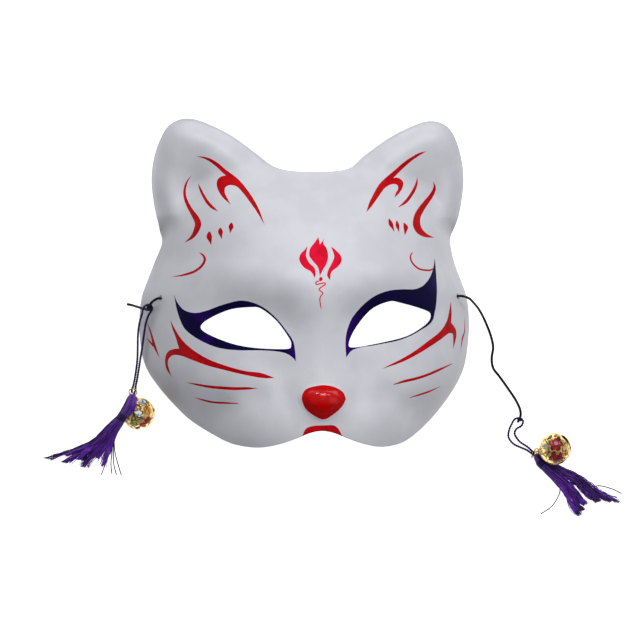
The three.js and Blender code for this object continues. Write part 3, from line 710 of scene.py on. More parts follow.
# %% [markdown]
# ## Mask mesh
# The rim is the mask's outline. Where the form would go below the floor, the rim moves in
# to where it meets the floor, because the mask rests there on its flat edge.
# The eye openings were trimmed by hand on the real mask and differ a little.

# %% Mask mesh
MASK_SPACING, EYE_SPACING = 1.3, 0.8
MASK_ROUNDING = (0.5, 0.35)
MASK_ROWS = [1.1, 2.1, 3.3, 4.8, 6.8, 9.5]
rim = evenly(outline[::-1], MASK_SPACING, closed=True)
ahead = unit(np.roll(rim, -1, 0) - np.roll(rim, 1, 0))
way_round = np.sign(np.cross(rim, np.roll(rim, -1, 0)).sum())
inwards = np.stack([-ahead[:, 1], ahead[:, 0]], 1) * way_round
for _ in range(200):
    low = mask_height(*rim.T) < 0
    rim[low] += inwards[low] * 0.02
rim = evenly(rim, MASK_SPACING, closed=True)
eye_loops = [smooth_line(corners, closed=True, even=EYE_SPACING, centripetal=False)
             for corners in (LEFT_EYE, RIGHT_EYE)]


def cord_hole(middle):
    """The plan of a round hole that is drilled square to the mask's face."""
    place, normal = mask_place(np.array([middle], float))
    across = unit(np.cross(normal[0], [0, 0, 1]))
    down = np.cross(normal[0], across)
    angles = np.linspace(0, 2 * math.pi, 20, endpoint=False)
    round_way = np.cos(angles)[:, None] * across + np.sin(angles)[:, None] * down
    return (place[0] + HOLE_RADIUS * round_way)[:, :2]


MASK_PAINTS = ["plastic", "red", "flame", "liner", "nose"]
mask = thin_shell(
    "fox_mask", [rim] + eye_loops + [cord_hole(m) for m in CORD_HOLES], mask_place, WALL,
    MASK_ROUNDING, [(MASK_PAINTS.index(paint), line) for paint, line in painted],
    MASK_SPACING, MASK_ROWS, floor=0)
print("mask:", len(mask.data.polygons), "triangles, floor to nose",
      round(max(v.co.z for v in mask.data.vertices) / MM, 1), "mm")

# %% [markdown]
# ## Cords as tubes
# A cord is a tube round its route. A curve with a bevel gives one too, but a mesh built
# ring by ring has its own UV map: the length along the cord and the turn round it, in
# which braid and twist are easy to draw.


# %% Tubes
def frames_along(line):
    """The way along a line at each point, with two sides that turn as little as possible."""
    way = unit(np.gradient(line, axis=0))
    side = unit(np.cross(way[0], [0.3, 0.2, 0.9]))
    sides = []
    for t in way:
        side = unit(side - t * (side @ t))
        sides.append(side)
    sides = np.array(sides)
    return way, sides, np.cross(way, sides)


def tube(line, radius, sides=12, round_ends=True):
    """Points, faces and UVs of a closed tube. radius is one number or one for each point."""
    line = np.asarray(line, float)
    radius = np.broadcast_to(np.asarray(radius, float), len(line)).copy()
    way, across, above = frames_along(line)
    if round_ends:
        bend = np.radians([90, 67.5, 45, 22.5])[:, None]
        narrow = np.maximum(np.cos(bend[:, 0]), 0.02)
        first = line[0] - way[0] * radius[0] * np.sin(bend)
        last = line[-1] + way[-1] * radius[-1] * np.sin(bend[::-1])
        line = np.vstack([first, line, last])
        radius = np.concatenate([radius[0] * narrow, radius, radius[-1] * narrow[::-1]])
        more = len(bend)
        across, above = (np.vstack([v[:1]] * more + [v] + [v[-1:]] * more) for v in (across, above))
    angle = np.linspace(0, 2 * math.pi, sides, endpoint=False)
    cosine, sine = np.cos(angle)[None, :, None], np.sin(angle)[None, :, None]
    ring = cosine * across[:, None] + sine * above[:, None]
    points = (line[:, None] + ring * radius[:, None, None]).reshape(-1, 3)
    gone = length_along(line)
    faces, uv = [], []
    for k in range(len(line) - 1):
        for i in range(sides):
            j = (i + 1) % sides
            faces.append((k * sides + i, k * sides + j, (k + 1) * sides + j, (k + 1) * sides + i))
            u, v = i / sides, (i + 1) / sides
            uv += [(gone[k], u), (gone[k], v), (gone[k + 1], v), (gone[k + 1], u)]
    faces.append(tuple(range(sides))[::-1])
    faces.append(tuple((len(line) - 1) * sides + i for i in range(sides)))
    uv += [(0, 0)] * sides + [(gone[-1], 0)] * sides
    return points, faces, uv


def joined(parts):
    """Several sets of points, faces and UVs as one."""
    points, faces, uv, start = [], [], [], 0
    for p, f, u in parts:
        points.append(p)
        faces += [tuple(start + i for i in face) for face in f]
        uv += u
        start += len(p)
    return np.vstack(points), faces, uv


def mesh_of(name, parts):
    points, faces, uv = joined(parts)
    return make_mesh(name, points, faces, uv=uv)


# %% [markdown]
# ## Knots
# A black cord is kept in its hole by a knot behind the wall, and the purple loops hang in
# a knot of it. An overhand knot pulled tight looks like a small trefoil of cord, and a
# trefoil has a formula.


# %% Knots
def knot(middle, axis, size, thickness):
    """A tight trefoil of cord around a middle point, flat across an axis."""
    axis = unit(axis)
    across = unit(np.cross(axis, [0.2, 0.9, 0.1]))
    above = np.cross(axis, across)
    t = np.linspace(0, 2 * math.pi, 97)[:-1]
    far = size * (0.62 + 0.38 * np.cos(3 * t))
    line = (far * np.cos(2 * t))[:, None] * across + (far * np.sin(2 * t))[:, None] * above
    line = middle + line + (0.52 * size * np.sin(3 * t))[:, None] * axis
    return tube(np.vstack([line, line[:1]]), thickness / 2, 10)


cord_knots = {
    "left_cord_knot": knot((-86.2, -14.0, 24.2), (-0.4, -0.7, -0.6), 1.35, 1.25),
    "left_stopper_knot": knot((-76.9, -9.5, 24.5), (0.84, 0.15, -0.5), 1.2, 1.2),
    "right_cord_knot": knot((118.5, -75.0, 1.7), (0.2, 1, 0), 1.0, 1.1),
    "right_stopper_knot": knot((75.7, -8.5, 26.4), (-0.85, 0.2, -0.5), 1.2, 1.2),
}
knots = {name: mesh_of(name, [parts]) for name, parts in cord_knots.items()}
black_cords = {
    name: mesh_of(name.replace("_cord", "_black_cord"),
                  [tube(lines[name], BLACK_DIAMETER / 2, 14)])
    for name in ("left_cord", "right_cord")}
print("black cords and knots:", len(black_cords), len(knots))

# %% [markdown]
# ## Purple loops
# Under a lens the purple cord is two plies twisted round each other.
# The plies are made as two thin tubes that wind along the route, so the twist is real
# and catches the light in small beads, as it does on thread.

# %% Purple loops
PLIES, PLY_RADIUS, PLY_OFFSET, PLY_PITCH = 2, 0.37, 0.3, 2.6


def twisted(line):
    """The plies of a twisted cord, each a tube that winds round the line."""
    line = evenly(line, 0.2)
    way, across, above = frames_along(line)
    gone = length_along(line)
    parts = []
    for ply in range(PLIES):
        angle = (gone / PLY_PITCH + ply / PLIES) * 2 * math.pi
        offset = np.cos(angle)[:, None] * across + np.sin(angle)[:, None] * above
        parts.append(tube(line + PLY_OFFSET * offset, PLY_RADIUS, 8))
    return parts


loops = {name: mesh_of(name.replace("_loop", "_purple_loop"), twisted(lines[name]))
         for name in ("left_loop", "right_loop")}
print("purple loops:", {name: len(o.data.polygons) for name, o in loops.items()}, "faces")

# %% [markdown]
# ## Rings and bells
# The jump rings are split rings of gold wire. Each bell is a thin ball pressed from two
# halves with a waist seam, a wire eyelet on top and a sound slot below with round ends.
# Its blossoms and patches are paint, so they are edges of the ball's mesh, as on the mask.
# Two round white patches among them are painted highlights.

# %% Places of rings and bells
RING_RADIUS, RING_WIRE = 2.2, 0.35
BELL_RADIUS, BELL_WALL, BELL_SLOT = 8.75, 0.8, 2.0
EYELET_RADIUS, EYELET_WIRE, EYELET_REACH, EYELET_SLACK = 1.5, 0.4, 10.05, 0.45
HANGINGS = {
    "left": ((-94.2, -58.9, 12), (-0.16, -0.67, 0.73), (0.33, -0.726, -0.6), (0.244, -0.97)),
    "right": ((126.25, -94.15, 3.4), (0.8, -0.6, 0), (0.55, 0.75, 0.37), (0.988, 0.155)),
}


def hanging_places(ring, thread_way, bell_side, bell_way):
    """The ring's middle and axis, and the bell's middle with its three directions."""
    ring, axis, side = np.array(ring), unit(thread_way), np.array(bell_side)
    side = unit(side - axis * (side @ axis))
    hook = ring + side * RING_RADIUS
    reach = EYELET_SLACK + EYELET_REACH
    drop = (BELL_RADIUS - hook[2]) / reach
    level = math.sqrt(1 - drop**2) / math.hypot(*bell_way)
    to_bell = np.array([bell_way[0] * level, bell_way[1] * level, drop])
    through = np.cross(axis, side)
    through = unit(through - to_bell * (through @ to_bell))
    up_way = -to_bell
    ways = np.array([np.cross(up_way, through), up_way, through])
    return ring, axis, hook + to_bell * reach, ways


places = {side: hanging_places(*facts) for side, facts in HANGINGS.items()}
print("bells at", {side: np.round(p[2], 1).tolist() for side, p in places.items()})


# %% Split rings
def round_wire(middle, axis, radius, wire, split=0.0, count=48):
    axis = unit(axis)
    across = unit(np.cross(axis, [0.1, 0.3, 0.9]))
    above = np.cross(axis, across)
    t = np.linspace(split / 2, 2 * math.pi - split / 2, count)
    line = middle + radius * (np.cos(t)[:, None] * across + np.sin(t)[:, None] * above)
    return tube(line, wire, 12, round_ends=split > 0)


rings = {side: mesh_of(f"{side}_jump_ring", [round_wire(p[0], p[1], RING_RADIUS, RING_WIRE, 0.12)])
         for side, p in places.items()}


# %% The bell's plan: a map centred on the middle of its sound slot
SEAM_HEIGHT, SEAM_WIDTH = 0.28, 0.45
TOP_OPENING = 0.9
SLOT_LENGTH = 12.4
CAP_ENDS, CAP_RADIUS = (-0.25, 0.12), 1.3
BELL_ROUNDING, BELL_SPACING, BELL_ROWS = (0.2, 0.2), 0.75, [0.4, 0.9]


def bell_place(side):
    _, _, middle, (across, above, through) = places[side]

    def place(plan):
        far = np.maximum(np.hypot(*plan.T), 1e-9)
        angle = far / BELL_RADIUS
        flat = plan / far[:, None]
        way = (np.sin(angle)[:, None] * (flat[:, :1] * across + flat[:, 1:] * through)
               - np.cos(angle)[:, None] * above)
        from_waist = (angle - math.pi / 2) * BELL_RADIUS
        lift = SEAM_HEIGHT * np.exp(-(from_waist / SEAM_WIDTH) ** 2)
        slope = -2 * from_waist / SEAM_WIDTH**2 * lift
        along = (np.cos(angle)[:, None] * (flat[:, :1] * across + flat[:, 1:] * through)
                 + np.sin(angle)[:, None] * above)
        return middle + way * (BELL_RADIUS + lift)[:, None], unit(way - along * slope[:, None])
    return place


def on_bell(side, ways):
    """Where directions in the scene land on a bell's plan."""
    across, above, through = places[side][3]
    ways = unit(ways)
    u, v, w = ways @ across, ways @ through, ways @ above
    far = np.arccos(np.clip(-w, -1, 1)) * BELL_RADIUS
    flat = np.maximum(np.hypot(u, v), 1e-9)
    return np.stack([u / flat * far, v / flat * far], 1)


BELL_PIXELS = {"left": (137, 411.5), "right": (555.6, 449)}
BELL_RADIUS_PIXELS = 16.3


def bell_way(side, x, y):
    """The direction from a bell's middle to its front at a pixel of the picture."""
    cx, cy = BELL_PIXELS[side]
    a, b = (x - cx) / BELL_RADIUS_PIXELS, (cy - y) / BELL_RADIUS_PIXELS
    return a * right + b * up - look * math.sqrt(max(1 - a * a - b * b, 0.02))


# %% Blossoms, other painted patches and two painted highlights on the bells
def patch(side, way, size, petals, depth, turned, stretch):
    """A closed line round a direction on the bell: a blossom, a star or a rounded patch."""
    way = unit(way)
    east = unit(np.cross([0.11, 0.97, 0.2], way))
    north = np.cross(way, east)
    t = np.linspace(0, 2 * math.pi, 60, endpoint=False)
    wave = np.abs(np.cos(petals * t / 2)) if petals else np.ones(len(t))
    far = size / BELL_RADIUS * (1 - depth + depth * wave)
    a, b = far * np.cos(t + turned), far * np.sin(t + turned) * stretch
    return on_bell(side, way + a[:, None] * east + b[:, None] * north)


# Each patch: paint, pixel, size in mm, petals, their depth, turn in radians, stretch
BELL_PAINTS = ["gold", "red_enamel", "dark_red_enamel", "white_enamel", "green_enamel",
               "orange_enamel", "black_enamel"]
BELL_PATCHES = {
    "left": [
        # A round white patch near the top of the ball: a painted highlight
        ("white_enamel", (140.9, 399.6), 2.3, 0, 0, 0.3, 1.0),
        ("orange_enamel", (146.6, 407.4), 2.5, 5, 0.25, 0.2, 1.0),
        ("red_enamel", (147.0, 418.2), 2.4, 5, 0.25, 0.6, 1.0),
        ("red_enamel", (141.6, 422.6), 1.9, 5, 0.25, 0.1, 1.0),
        ("green_enamel", (132.6, 421.2), 2.5, 5, 0.22, 0.9, 1.0),
        ("black_enamel", (137.4, 410.7), 2.9, 5, 0.35, 0.3, 1.0),
        ("white_enamel", (137.4, 410.7), 2.3, 5, 0.4, 0.3, 1.0),
        ("dark_red_enamel", (128.4, 404.6), 2.0, 5, 0.25, 0.4, 1.0),
    ],
    "right": [
        ("dark_red_enamel", (555.0, 443.6), 4.3, 5, 0.3, 0.35, 1.0),
        ("dark_red_enamel", (555.6, 457.6), 4.7, 5, 0.3, 1.0, 1.0),
        ("gold", (556.6, 452.6), 1.2, 5, 0.45, 0.4, 1.0),
        # A round white patch on the left of the ball: a painted highlight
        ("white_enamel", (543.4, 446.2), 1.7, 0, 0, 0.4, 0.8),
        ("black_enamel", (549.4, 436.8), 1.3, 3, 0.3, 0.2, 1.6),
        ("black_enamel", (558.6, 437.6), 1.2, 3, 0.3, 0.9, 1.6),
        ("black_enamel", (567.8, 441.4), 1.2, 3, 0.3, 0.5, 1.6),
        ("orange_enamel", (566.6, 452.6), 1.9, 5, 0.3, 0.5, 1.0),
    ],
}


def slot_loop():
    """The outline of the sound slot, with a round drilled end at each side."""
    half, end = SLOT_LENGTH / 2, BELL_SLOT * 0.85
    right_end = [(half + end * math.cos(a), end * math.sin(a)) for a in np.linspace(-2.1, 2.1, 15)]
    left_end = [(-x, -y) for x, y in right_end]
    return evenly(np.array(right_end + left_end), 0.6, closed=True)


bells = {}
for side in places:
    rim_far = (math.pi - TOP_OPENING / BELL_RADIUS) * BELL_RADIUS
    turn_round = np.linspace(0, 2 * math.pi, 72, endpoint=False)
    bell_rim = rim_far * np.stack([np.cos(turn_round), np.sin(turn_round)], 1)
    patches = [(BELL_PAINTS.index(paint), patch(side, bell_way(side, *pixel), *form))
               for paint, pixel, *form in BELL_PATCHES[side]]
    ball = thin_shell(f"{side}_bell_ball", [bell_rim, slot_loop()], bell_place(side), BELL_WALL,
                      BELL_ROUNDING, patches, BELL_SPACING, BELL_ROWS)
    _, _, middle, (across, above, through) = places[side]
    eyelet = mesh_of(f"{side}_bell_eyelet", [
        round_wire(middle + above * EYELET_REACH, through, EYELET_RADIUS, EYELET_WIRE),
        tube([middle + above * (BELL_RADIUS + rise) for rise in CAP_ENDS], CAP_RADIUS, 20)])
    bells[side] = (ball, eyelet)
print("bell triangles:", {side: len(b[0].data.polygons) for side, b in bells.items()})

# %% [markdown]
# ## Tassels
# A tassel is a bundle of fine shiny threads, folded over at the head, wound round at the
# neck and loose below, where the threads clump and kink. Hair could give threads, but it
# isn't exported. Here each thread gets a guide line in Python, so that it stays in the
# tassel's real shape and off the bell, and Geometry Nodes turn all guides into thin kinked
# tubes with three sides. The guides are sorted across the tassel and each run of nine gets
# one tone, from nearly black to bright violet, so the tones lie in streaks of painted shade
# and painted sheen. The few stray threads that lie apart are plain tubes, in the same mesh
# as the winding round the neck.

# %% Sections of the tassels: left x, y, right x, y, middle height, half height
TASSELS = {
    "left": [
        (-93.2, -60.3, -95.8, -59.9, 13.4, 1.3), (-92.5, -63, -97.5, -62, 15.4, 2.1),
        (-92.7, -66.4, -98.9, -64.8, 16.6, 2.4), (-94.7, -70.7, -100.3, -67.5, 15.4, 2.3),
        (-98.6, -74.2, -102.4, -71.6, 11.3, 2), (-99.6, -77.1, -105.8, -74.7, 8.2, 2.2),
        (-102.2, -81.7, -110.2, -79.7, 4.9, 2.3), (-104.2, -87.1, -115.2, -85.1, 2.7, 2.1),
        (-105.5, -92.4, -125.7, -89.8, 1.7, 1.6), (-106.5, -103, -141.7, -94.7, 0.9, 0.8)],
    "right": [
        (128.1, -93.7, 126.5, -96.3, 2.7, 1.7), (131.8, -95.2, 128.2, -100.2, 2.7, 2.6),
        (136.6, -98, 132, -104, 2.7, 2.6), (142, -101, 136.5, -108.3, 2.4, 2.3),
        (148, -103.5, 141, -112.8, 2.1, 2), (154.9, -107.3, 145, -118.8, 1.8, 1.7),
        (163.3, -114.2, 147.4, -125, 1.4, 1.3), (176.7, -121.2, 150.9, -129.2, 0.9, 0.8)],
}
THREADS = 520
# The ends of the clumps, as shares of the width from the left side to the right,
# with how far each reaches
CLUMPS = {
    "left": [(0.04, 0.90), (0.13, 0.97), (0.27, 0.93), (0.40, 1.0), (0.55, 0.96), (0.68, 1.0),
             (0.82, 0.95), (0.95, 1.0)],
    "right": [(0.05, 1.0), (0.16, 0.97), (0.30, 0.93), (0.62, 0.90), (0.78, 0.95), (0.93, 1.0)],
}
NECKS = {"left": (3.55, 4.45), "right": (0.7, 1.5)}
# Threads crowd outwards, reach unevenly, lean to their clump and wander a little
CROWDING, RAGGED, CLUMPING, WANDER = 0.42, 0.10, 0.62, 0.05
THREAD_POINTS = 26


# %% Guide lines of the threads
def off_the_bell(points, side, room=0.35):
    middle = places[side][2]
    away = points - middle
    far = np.linalg.norm(away, axis=1, keepdims=True)
    return np.where(far < BELL_RADIUS + room, middle + away / far * (BELL_RADIUS + room), points)


def thread_guides(side, seed):
    """Centre lines of the threads, as a list of point arrays."""
    rng = np.random.default_rng(seed)
    sections = np.array(TASSELS[side], float)
    last = len(sections) - 1
    clump_at = np.array([c[0] for c in CLUMPS[side]]) * 2 - 1
    guides = []
    for _ in range(THREADS):
        far, turn_at = rng.random() ** CROWDING, rng.random() * 2 * math.pi
        across, above = far * math.cos(turn_at), far * math.sin(turn_at)
        home = int(np.argmin(np.abs(clump_at - across)))
        end_share = CLUMPS[side][home][1] * (1 - RAGGED * rng.random() ** 2)
        wander = rng.normal(0, WANDER, 3)
        s = np.linspace(0, 1, THREAD_POINTS)
        at = s * end_share * last
        rows = np.stack([np.interp(at, range(last + 1), sections[:, k]) for k in range(6)], 1)
        loose = smooth_step(0.45, 1, s)
        a = across + (clump_at[home] - across) * CLUMPING * loose
        a = a + (wander[0] + wander[1] * np.sin(s * 7 + wander[2] * 60)) * smooth_step(0.4, 0.8, s)
        b = above * np.sqrt(np.maximum(1 - 0.55 * np.minimum(a * a, 1) * loose, 0.1))
        left_at, right_at = rows[:, :2], rows[:, 2:4]
        plan = left_at + (right_at - left_at) * ((a + 1) / 2)[:, None]
        z = rows[:, 4] + rows[:, 5] * b
        line = off_the_bell(np.column_stack([plan, np.maximum(z, 0.25)]), side)
        guides.append((across, line))
    return [line for _, line in sorted(guides, key=lambda guide: guide[0])]


# %% Lone threads, in the picture's pixels with their heights
LONE_THREADS = {
    "left": [
        [(112, 436, 4), (111, 448, 2), (107, 460, 0.6), (101.4, 474.3, 0.4)],
        [(113, 438, 4), (112, 452, 2), (111, 464, 0.5), (111.9, 473.6, 0.4)],
        [(114, 438, 4), (113.5, 453, 2), (114, 465, 0.5), (116.5, 474.8, 0.4)],
        [(114, 436, 4), (115, 452, 2), (118, 464, 0.5), (121.3, 474.8, 0.4)]],
    "right": [
        [(583, 482, 2), (590.7, 486.5, 1), (599.4, 485.7, 0.6), (612.2, 488.9, 0.4),
         (621.4, 493.3, 0.4)],
        [(596, 488, 2), (604.2, 493.6, 0.8), (617, 497.2, 0.4)],
        [(553, 478, 2), (558.8, 484.1, 0.8), (560, 490, 0.4), (558.8, 495.2, 0.4),
         (551.6, 506.4, 0.4), (541.2, 513.6, 0.4)]],
}


# %% Geometry Nodes: guide lines to kinked threads
def thread_tree():
    tree = bpy.data.node_groups.new("threads_from_guides", "GeometryNodeTree")
    sockets = {}
    for label, kind, value in [
            ("Guides", "NodeSocketGeometry", None), ("Thread Radius", "NodeSocketFloat", 0.00019),
            ("Kink Size", "NodeSocketFloat", 0.0008), ("Kink Length", "NodeSocketFloat", 0.004),
            ("Bundle Threads", "NodeSocketFloat", 9.0), ("Seed", "NodeSocketInt", 1),
            ("Thread Material", "NodeSocketMaterial", None)]:
        item = tree.interface.new_socket(label, in_out="INPUT", socket_type=kind)
        sockets[label] = item.identifier
        if value is not None:
            item.default_value = value
    tree.interface.new_socket("Threads", in_out="OUTPUT", socket_type="NodeSocketGeometry")

    def node(kind, settings=None, **inputs):
        made = tree.nodes.new(kind)
        for key, value in (settings or {}).items():
            setattr(made, key, value)
        for key, value in inputs.items():
            which = int(key[1:]) if key[1:].isdigit() else key.replace("_", " ")
            socket = made.inputs[which]
            if isinstance(value, bpy.types.NodeSocket):
                tree.links.new(value, socket)
            else:
                socket.default_value = value
        return made

    given = tree.nodes.new("NodeGroupInput").outputs
    curves = node("GeometryNodeMeshToCurve", Mesh=given["Guides"])
    even = node("GeometryNodeResampleCurve", {"mode": "LENGTH"}, Curve=curves.outputs[0],
                Length=0.0013)
    spline = node("GeometryNodeSplineParameter")
    whose = node("GeometryNodeInputIndex")
    bundle = node("ShaderNodeMath", {"operation": "DIVIDE"}, _0=whose.outputs[0],
                  _1=given["Bundle Threads"])
    # One random value for each run of threads, which the thread finish turns into painted shade and
    # sheen
    shade = node("FunctionNodeRandomValue", {"data_type": "FLOAT"}, ID=bundle.outputs[0],
                 Seed=given["Seed"])
    marked = node("GeometryNodeStoreNamedAttribute", {"data_type": "FLOAT", "domain": "CURVE"},
                  Geometry=even.outputs[0], Name="thread_shade", Value=shade.outputs[1])
    own = node("GeometryNodeInputNamedAttribute", {"data_type": "FLOAT"}, Name="thread_shade")
    position = node("GeometryNodeInputPosition")
    scale = node("ShaderNodeMath", {"operation": "DIVIDE"}, _0=1.0, _1=given["Kink Length"])
    seeded = node("ShaderNodeMath", {"operation": "ADD"}, _0=own.outputs[0], _1=given["Seed"])
    noise = node("ShaderNodeTexNoise", {"noise_dimensions": "4D"}, Vector=position.outputs[0],
                 W=seeded.outputs[0], Scale=scale.outputs[0], Detail=1.5)
    centred = node("ShaderNodeVectorMath", {"operation": "SUBTRACT"}, _0=noise.outputs["Color"],
                   _1=(0.5, 0.5, 0.5))
    loose = node("ShaderNodeMapRange", {"interpolation_type": "SMOOTHSTEP"},
                 Value=spline.outputs["Factor"], From_Min=0.15, From_Max=0.75)
    size = node("ShaderNodeMath", {"operation": "MULTIPLY"}, _0=loose.outputs[0],
                _1=given["Kink Size"])
    offset = node("ShaderNodeVectorMath", {"operation": "SCALE"}, _0=centred.outputs[0],
                  Scale=size.outputs[0])
    kinked = node("GeometryNodeSetPosition", Geometry=marked.outputs[0], Offset=offset.outputs[0])
    section = node("GeometryNodeCurvePrimitiveCircle", {"mode": "RADIUS"}, Resolution=3,
                   Radius=given["Thread Radius"])
    mesh = node("GeometryNodeCurveToMesh", Curve=kinked.outputs[0],
                Profile_Curve=section.outputs[0], Fill_Caps=True)
    real = node("GeometryNodeRealizeInstances", Geometry=mesh.outputs[0])
    painted_threads = node("GeometryNodeSetMaterial", Geometry=real.outputs[0],
                           Material=given["Thread Material"])
    out = tree.nodes.new("NodeGroupOutput")
    tree.links.new(painted_threads.outputs[0], out.inputs[0])
    return tree, sockets


tree, thread_inputs = thread_tree()
thread_material = bpy.data.materials.new("purple_thread")


def threads_from(name, guides, **values):
    """A plain mesh of threads along guide lines."""
    points = np.vstack(guides) * MM
    starts = np.cumsum([0] + [len(g) for g in guides[:-1]])
    edges = [(s + i, s + i + 1) for s, g in zip(starts, guides) for i in range(len(g) - 1)]
    mesh = bpy.data.meshes.new(name + "_guides")
    mesh.from_pydata(points.tolist(), [tuple(map(int, e)) for e in edges], [])
    obj = bpy.data.objects.new(name, mesh)
    bpy.context.scene.collection.objects.link(obj)
    modifier = obj.modifiers.new("threads", "NODES")
    modifier.node_group = tree
    for label, value in {"Thread Material": thread_material, **values}.items():
        modifier[thread_inputs[label]] = value
    bpy.context.view_layer.update()
    graph = bpy.context.evaluated_depsgraph_get()
    made = bpy.data.meshes.new_from_object(obj.evaluated_get(graph))
    obj.modifiers.remove(modifier)
    obj.data = made
    made.name = name
    return obj


KINKS = {"left": 0.0014, "right": 0.0026}
tassels = {}
for side, seed in (("left", 11), ("right", 23)):
    guides = thread_guides(side, seed)
    tassels[side] = threads_from(
        f"{side}_tassel_threads", guides, **{"Seed": seed, "Kink Size": KINKS[side]})
print("tassel faces:", {side: len(o.data.polygons) for side, o in tassels.items()})


# %% Thread wound round the necks
def winding(side, turns=7, radius=0.24):
    """A thread wound round a tassel from one place along it to another."""
    start, end = NECKS[side]
    sections = np.array(TASSELS[side], float)
    t = np.linspace(0, 1, turns * 22)
    at, angle = start + (end - start) * t, t * turns * 2 * math.pi
    rows = np.stack([np.interp(at, range(len(sections)), sections[:, k]) for k in range(6)], 1)
    middle, half = (rows[:, :2] + rows[:, 2:4]) / 2, (rows[:, 2:4] - rows[:, :2]) / 2
    plan = middle + half * 1.05 * np.cos(angle)[:, None]
    z = rows[:, 4] + rows[:, 5] * 1.08 * np.sin(angle)
    return off_the_bell(np.column_stack([plan, np.maximum(z, 0.3)]), side, room=0.4), radius


def lone_thread(line, radius=0.3):
    line = np.array(line, float)
    return tube(smooth_line(on_level(line, line[:, 2]), even=0.8), radius, 6)


windings = {side: mesh_of(f"{side}_tassel_winding", [
    tube(*winding(side), 8), *(lone_thread(line) for line in LONE_THREADS[side])])
    for side in TASSELS}

# %% [markdown]
# ## Finishes
# Shader maths is written as Python expressions. A small class wraps a node's output, so
# that 0.2 + tone * 0.5 adds the Math nodes by itself. One method makes any other node.


# %% Shader expressions
class Value:
    """A number or colour that comes out of a node."""

    def __init__(self, finish, socket):
        self.finish, self.socket = finish, socket

    def __add__(self, other):
        return self.finish.function("ADD", self, other)

    def __radd__(self, other):
        return self.finish.function("ADD", other, self)

    def __sub__(self, other):
        return self.finish.function("SUBTRACT", self, other)

    def __mul__(self, other):
        return self.finish.function("MULTIPLY", self, other)

    def __rmul__(self, other):
        return self.finish.function("MULTIPLY", other, self)


class Finish:
    """A material under construction, around one Principled shader."""

    def __init__(self, name, material=None, **constants):
        self.material = material or bpy.data.materials.new(name)
        self.material.use_nodes = True
        self.tree = self.material.node_tree
        self.shader = self.tree.nodes["Principled BSDF"]
        for label, value in constants.items():
            self.shader.inputs[label.replace("_", " ")].default_value = value

    def node(self, kind, settings=None, values=None, output=0):
        made = self.tree.nodes.new(kind)
        for key, value in (settings or {}).items():
            if key == "stops":
                ramp = made.color_ramp.elements
                while len(ramp) < len(value):
                    ramp.new(0.5)
                for stop, (at, colour) in zip(ramp, value):
                    stop.position, stop.color = at, (*colour, 1)
            else:
                setattr(made, key, value)
        for key, value in (values or {}).items():
            self.put(made.inputs[key], value)
        return Value(self, made.outputs[output])

    def put(self, socket, value):
        if isinstance(value, Value):
            self.tree.links.new(value.socket, socket)
        else:
            socket.default_value = value

    def give(self, **values):
        for label, value in values.items():
            self.put(self.shader.inputs[label.replace("_", " ")], value)
        return self.material

    def place(self):
        return self.node("ShaderNodeTexCoord", output="Object")

    def parts(self, vector):
        """The first and second numbers of a vector."""
        first = self.node("ShaderNodeSeparateXYZ", None, {0: vector})
        return first, Value(self, first.socket.node.outputs[1])

    def along_and_turn(self):
        """A tube's own UV map: the length along it in mm and the turn round it."""
        return self.parts(self.node("ShaderNodeUVMap", {"uv_map": "length_and_turn"}))

    def function(self, operation, *values):
        return self.node("ShaderNodeMath", {"operation": operation}, dict(enumerate(values)))

    def noise(self, size, detail, roughness=0.5):
        """Noise from 0 to 1 whose blotches are about a size in metres."""
        return self.node("ShaderNodeTexNoise", None, {
            "Vector": self.place(), "Scale": 1 / size, "Detail": detail,
            "Roughness": roughness})

    def veins(self, size, width):
        """1 on the lines between cells of a size in metres, 0 inside the cells."""
        edge = self.node("ShaderNodeTexVoronoi", {"feature": "DISTANCE_TO_EDGE"}, {
            "Vector": self.place(), "Scale": 1 / size})
        return self.spread(edge, width, 0.3 * width)

    def spread(self, value, low, high):
        """0 where the value is at low and 1 where it is at high, smooth between."""
        return self.node("ShaderNodeMapRange", {"interpolation_type": "SMOOTHSTEP"}, {
            "Value": value, "From Min": low, "From Max": high})

    def mix(self, share, first, second):
        made = self.tree.nodes.new("ShaderNodeMix")
        made.data_type = "RGBA"
        self.put(made.inputs[0], share)
        for socket, colour in ((made.inputs[6], first), (made.inputs[7], second)):
            self.put(socket, colour if isinstance(colour, Value) else (*colour, 1))
        return Value(self, made.outputs[2])

    def bump(self, height, depth):
        return self.node("ShaderNodeBump", None, {
            "Strength": 1.0, "Distance": depth, "Height": height})


# %% [markdown]
# ## White plastic and flat paint
# The mask is vacuum-formed plastic: white, with a slightly uneven skin that spreads each
# highlight. The paint lies on it in thin opaque strokes that shine less than the plastic,
# and only the crown of the nose is lacquered to a shine.
# All get their unevenness from noise in the mask's own space, at a few sizes.

# %% Finishes of the mask
plastic = Finish("white_moulded_plastic", Specular_IOR_Level=0.42)
skin = plastic.noise(0.0011, 3)
waves = plastic.noise(0.014, 2)
dust = plastic.spread(plastic.noise(0.0026, 4, roughness=0.7), 0.62, 0.74)
plastic_tone = plastic.mix(
    plastic.spread(waves, 0.35, 0.65), (0.60, 0.60, 0.645), (0.64, 0.638, 0.685))
plastic.give(
    Base_Color=plastic.mix(dust * 0.25, plastic_tone, (0.52, 0.53, 0.56)),
    Roughness=0.36 + 0.14 * skin + 0.06 * waves,
    Normal=plastic.bump(skin + 1.5 * waves, 0.00006))


def stroke_finish(name, deep, bright, roughness):
    """Opaque brushed paint: two tones in long soft patches."""
    paint = Finish(name, Specular_IOR_Level=0.08)
    tone = paint.spread(paint.noise(0.006, 3), 0.35, 0.68)
    grain = paint.noise(0.0009, 3)
    return paint.give(
        Base_Color=paint.mix(tone, deep, bright),
        Roughness=roughness + 0.12 * grain,
        Normal=paint.bump(grain, 0.00004))


red_paint = stroke_finish("red_stroke_paint", (0.40, 0.0, 0.002), (0.55, 0.001, 0.006), 0.55)
flame_paint = stroke_finish("crimson_stroke_paint", (0.62, 0.0, 0.016), (0.80, 0.001, 0.036), 0.55)

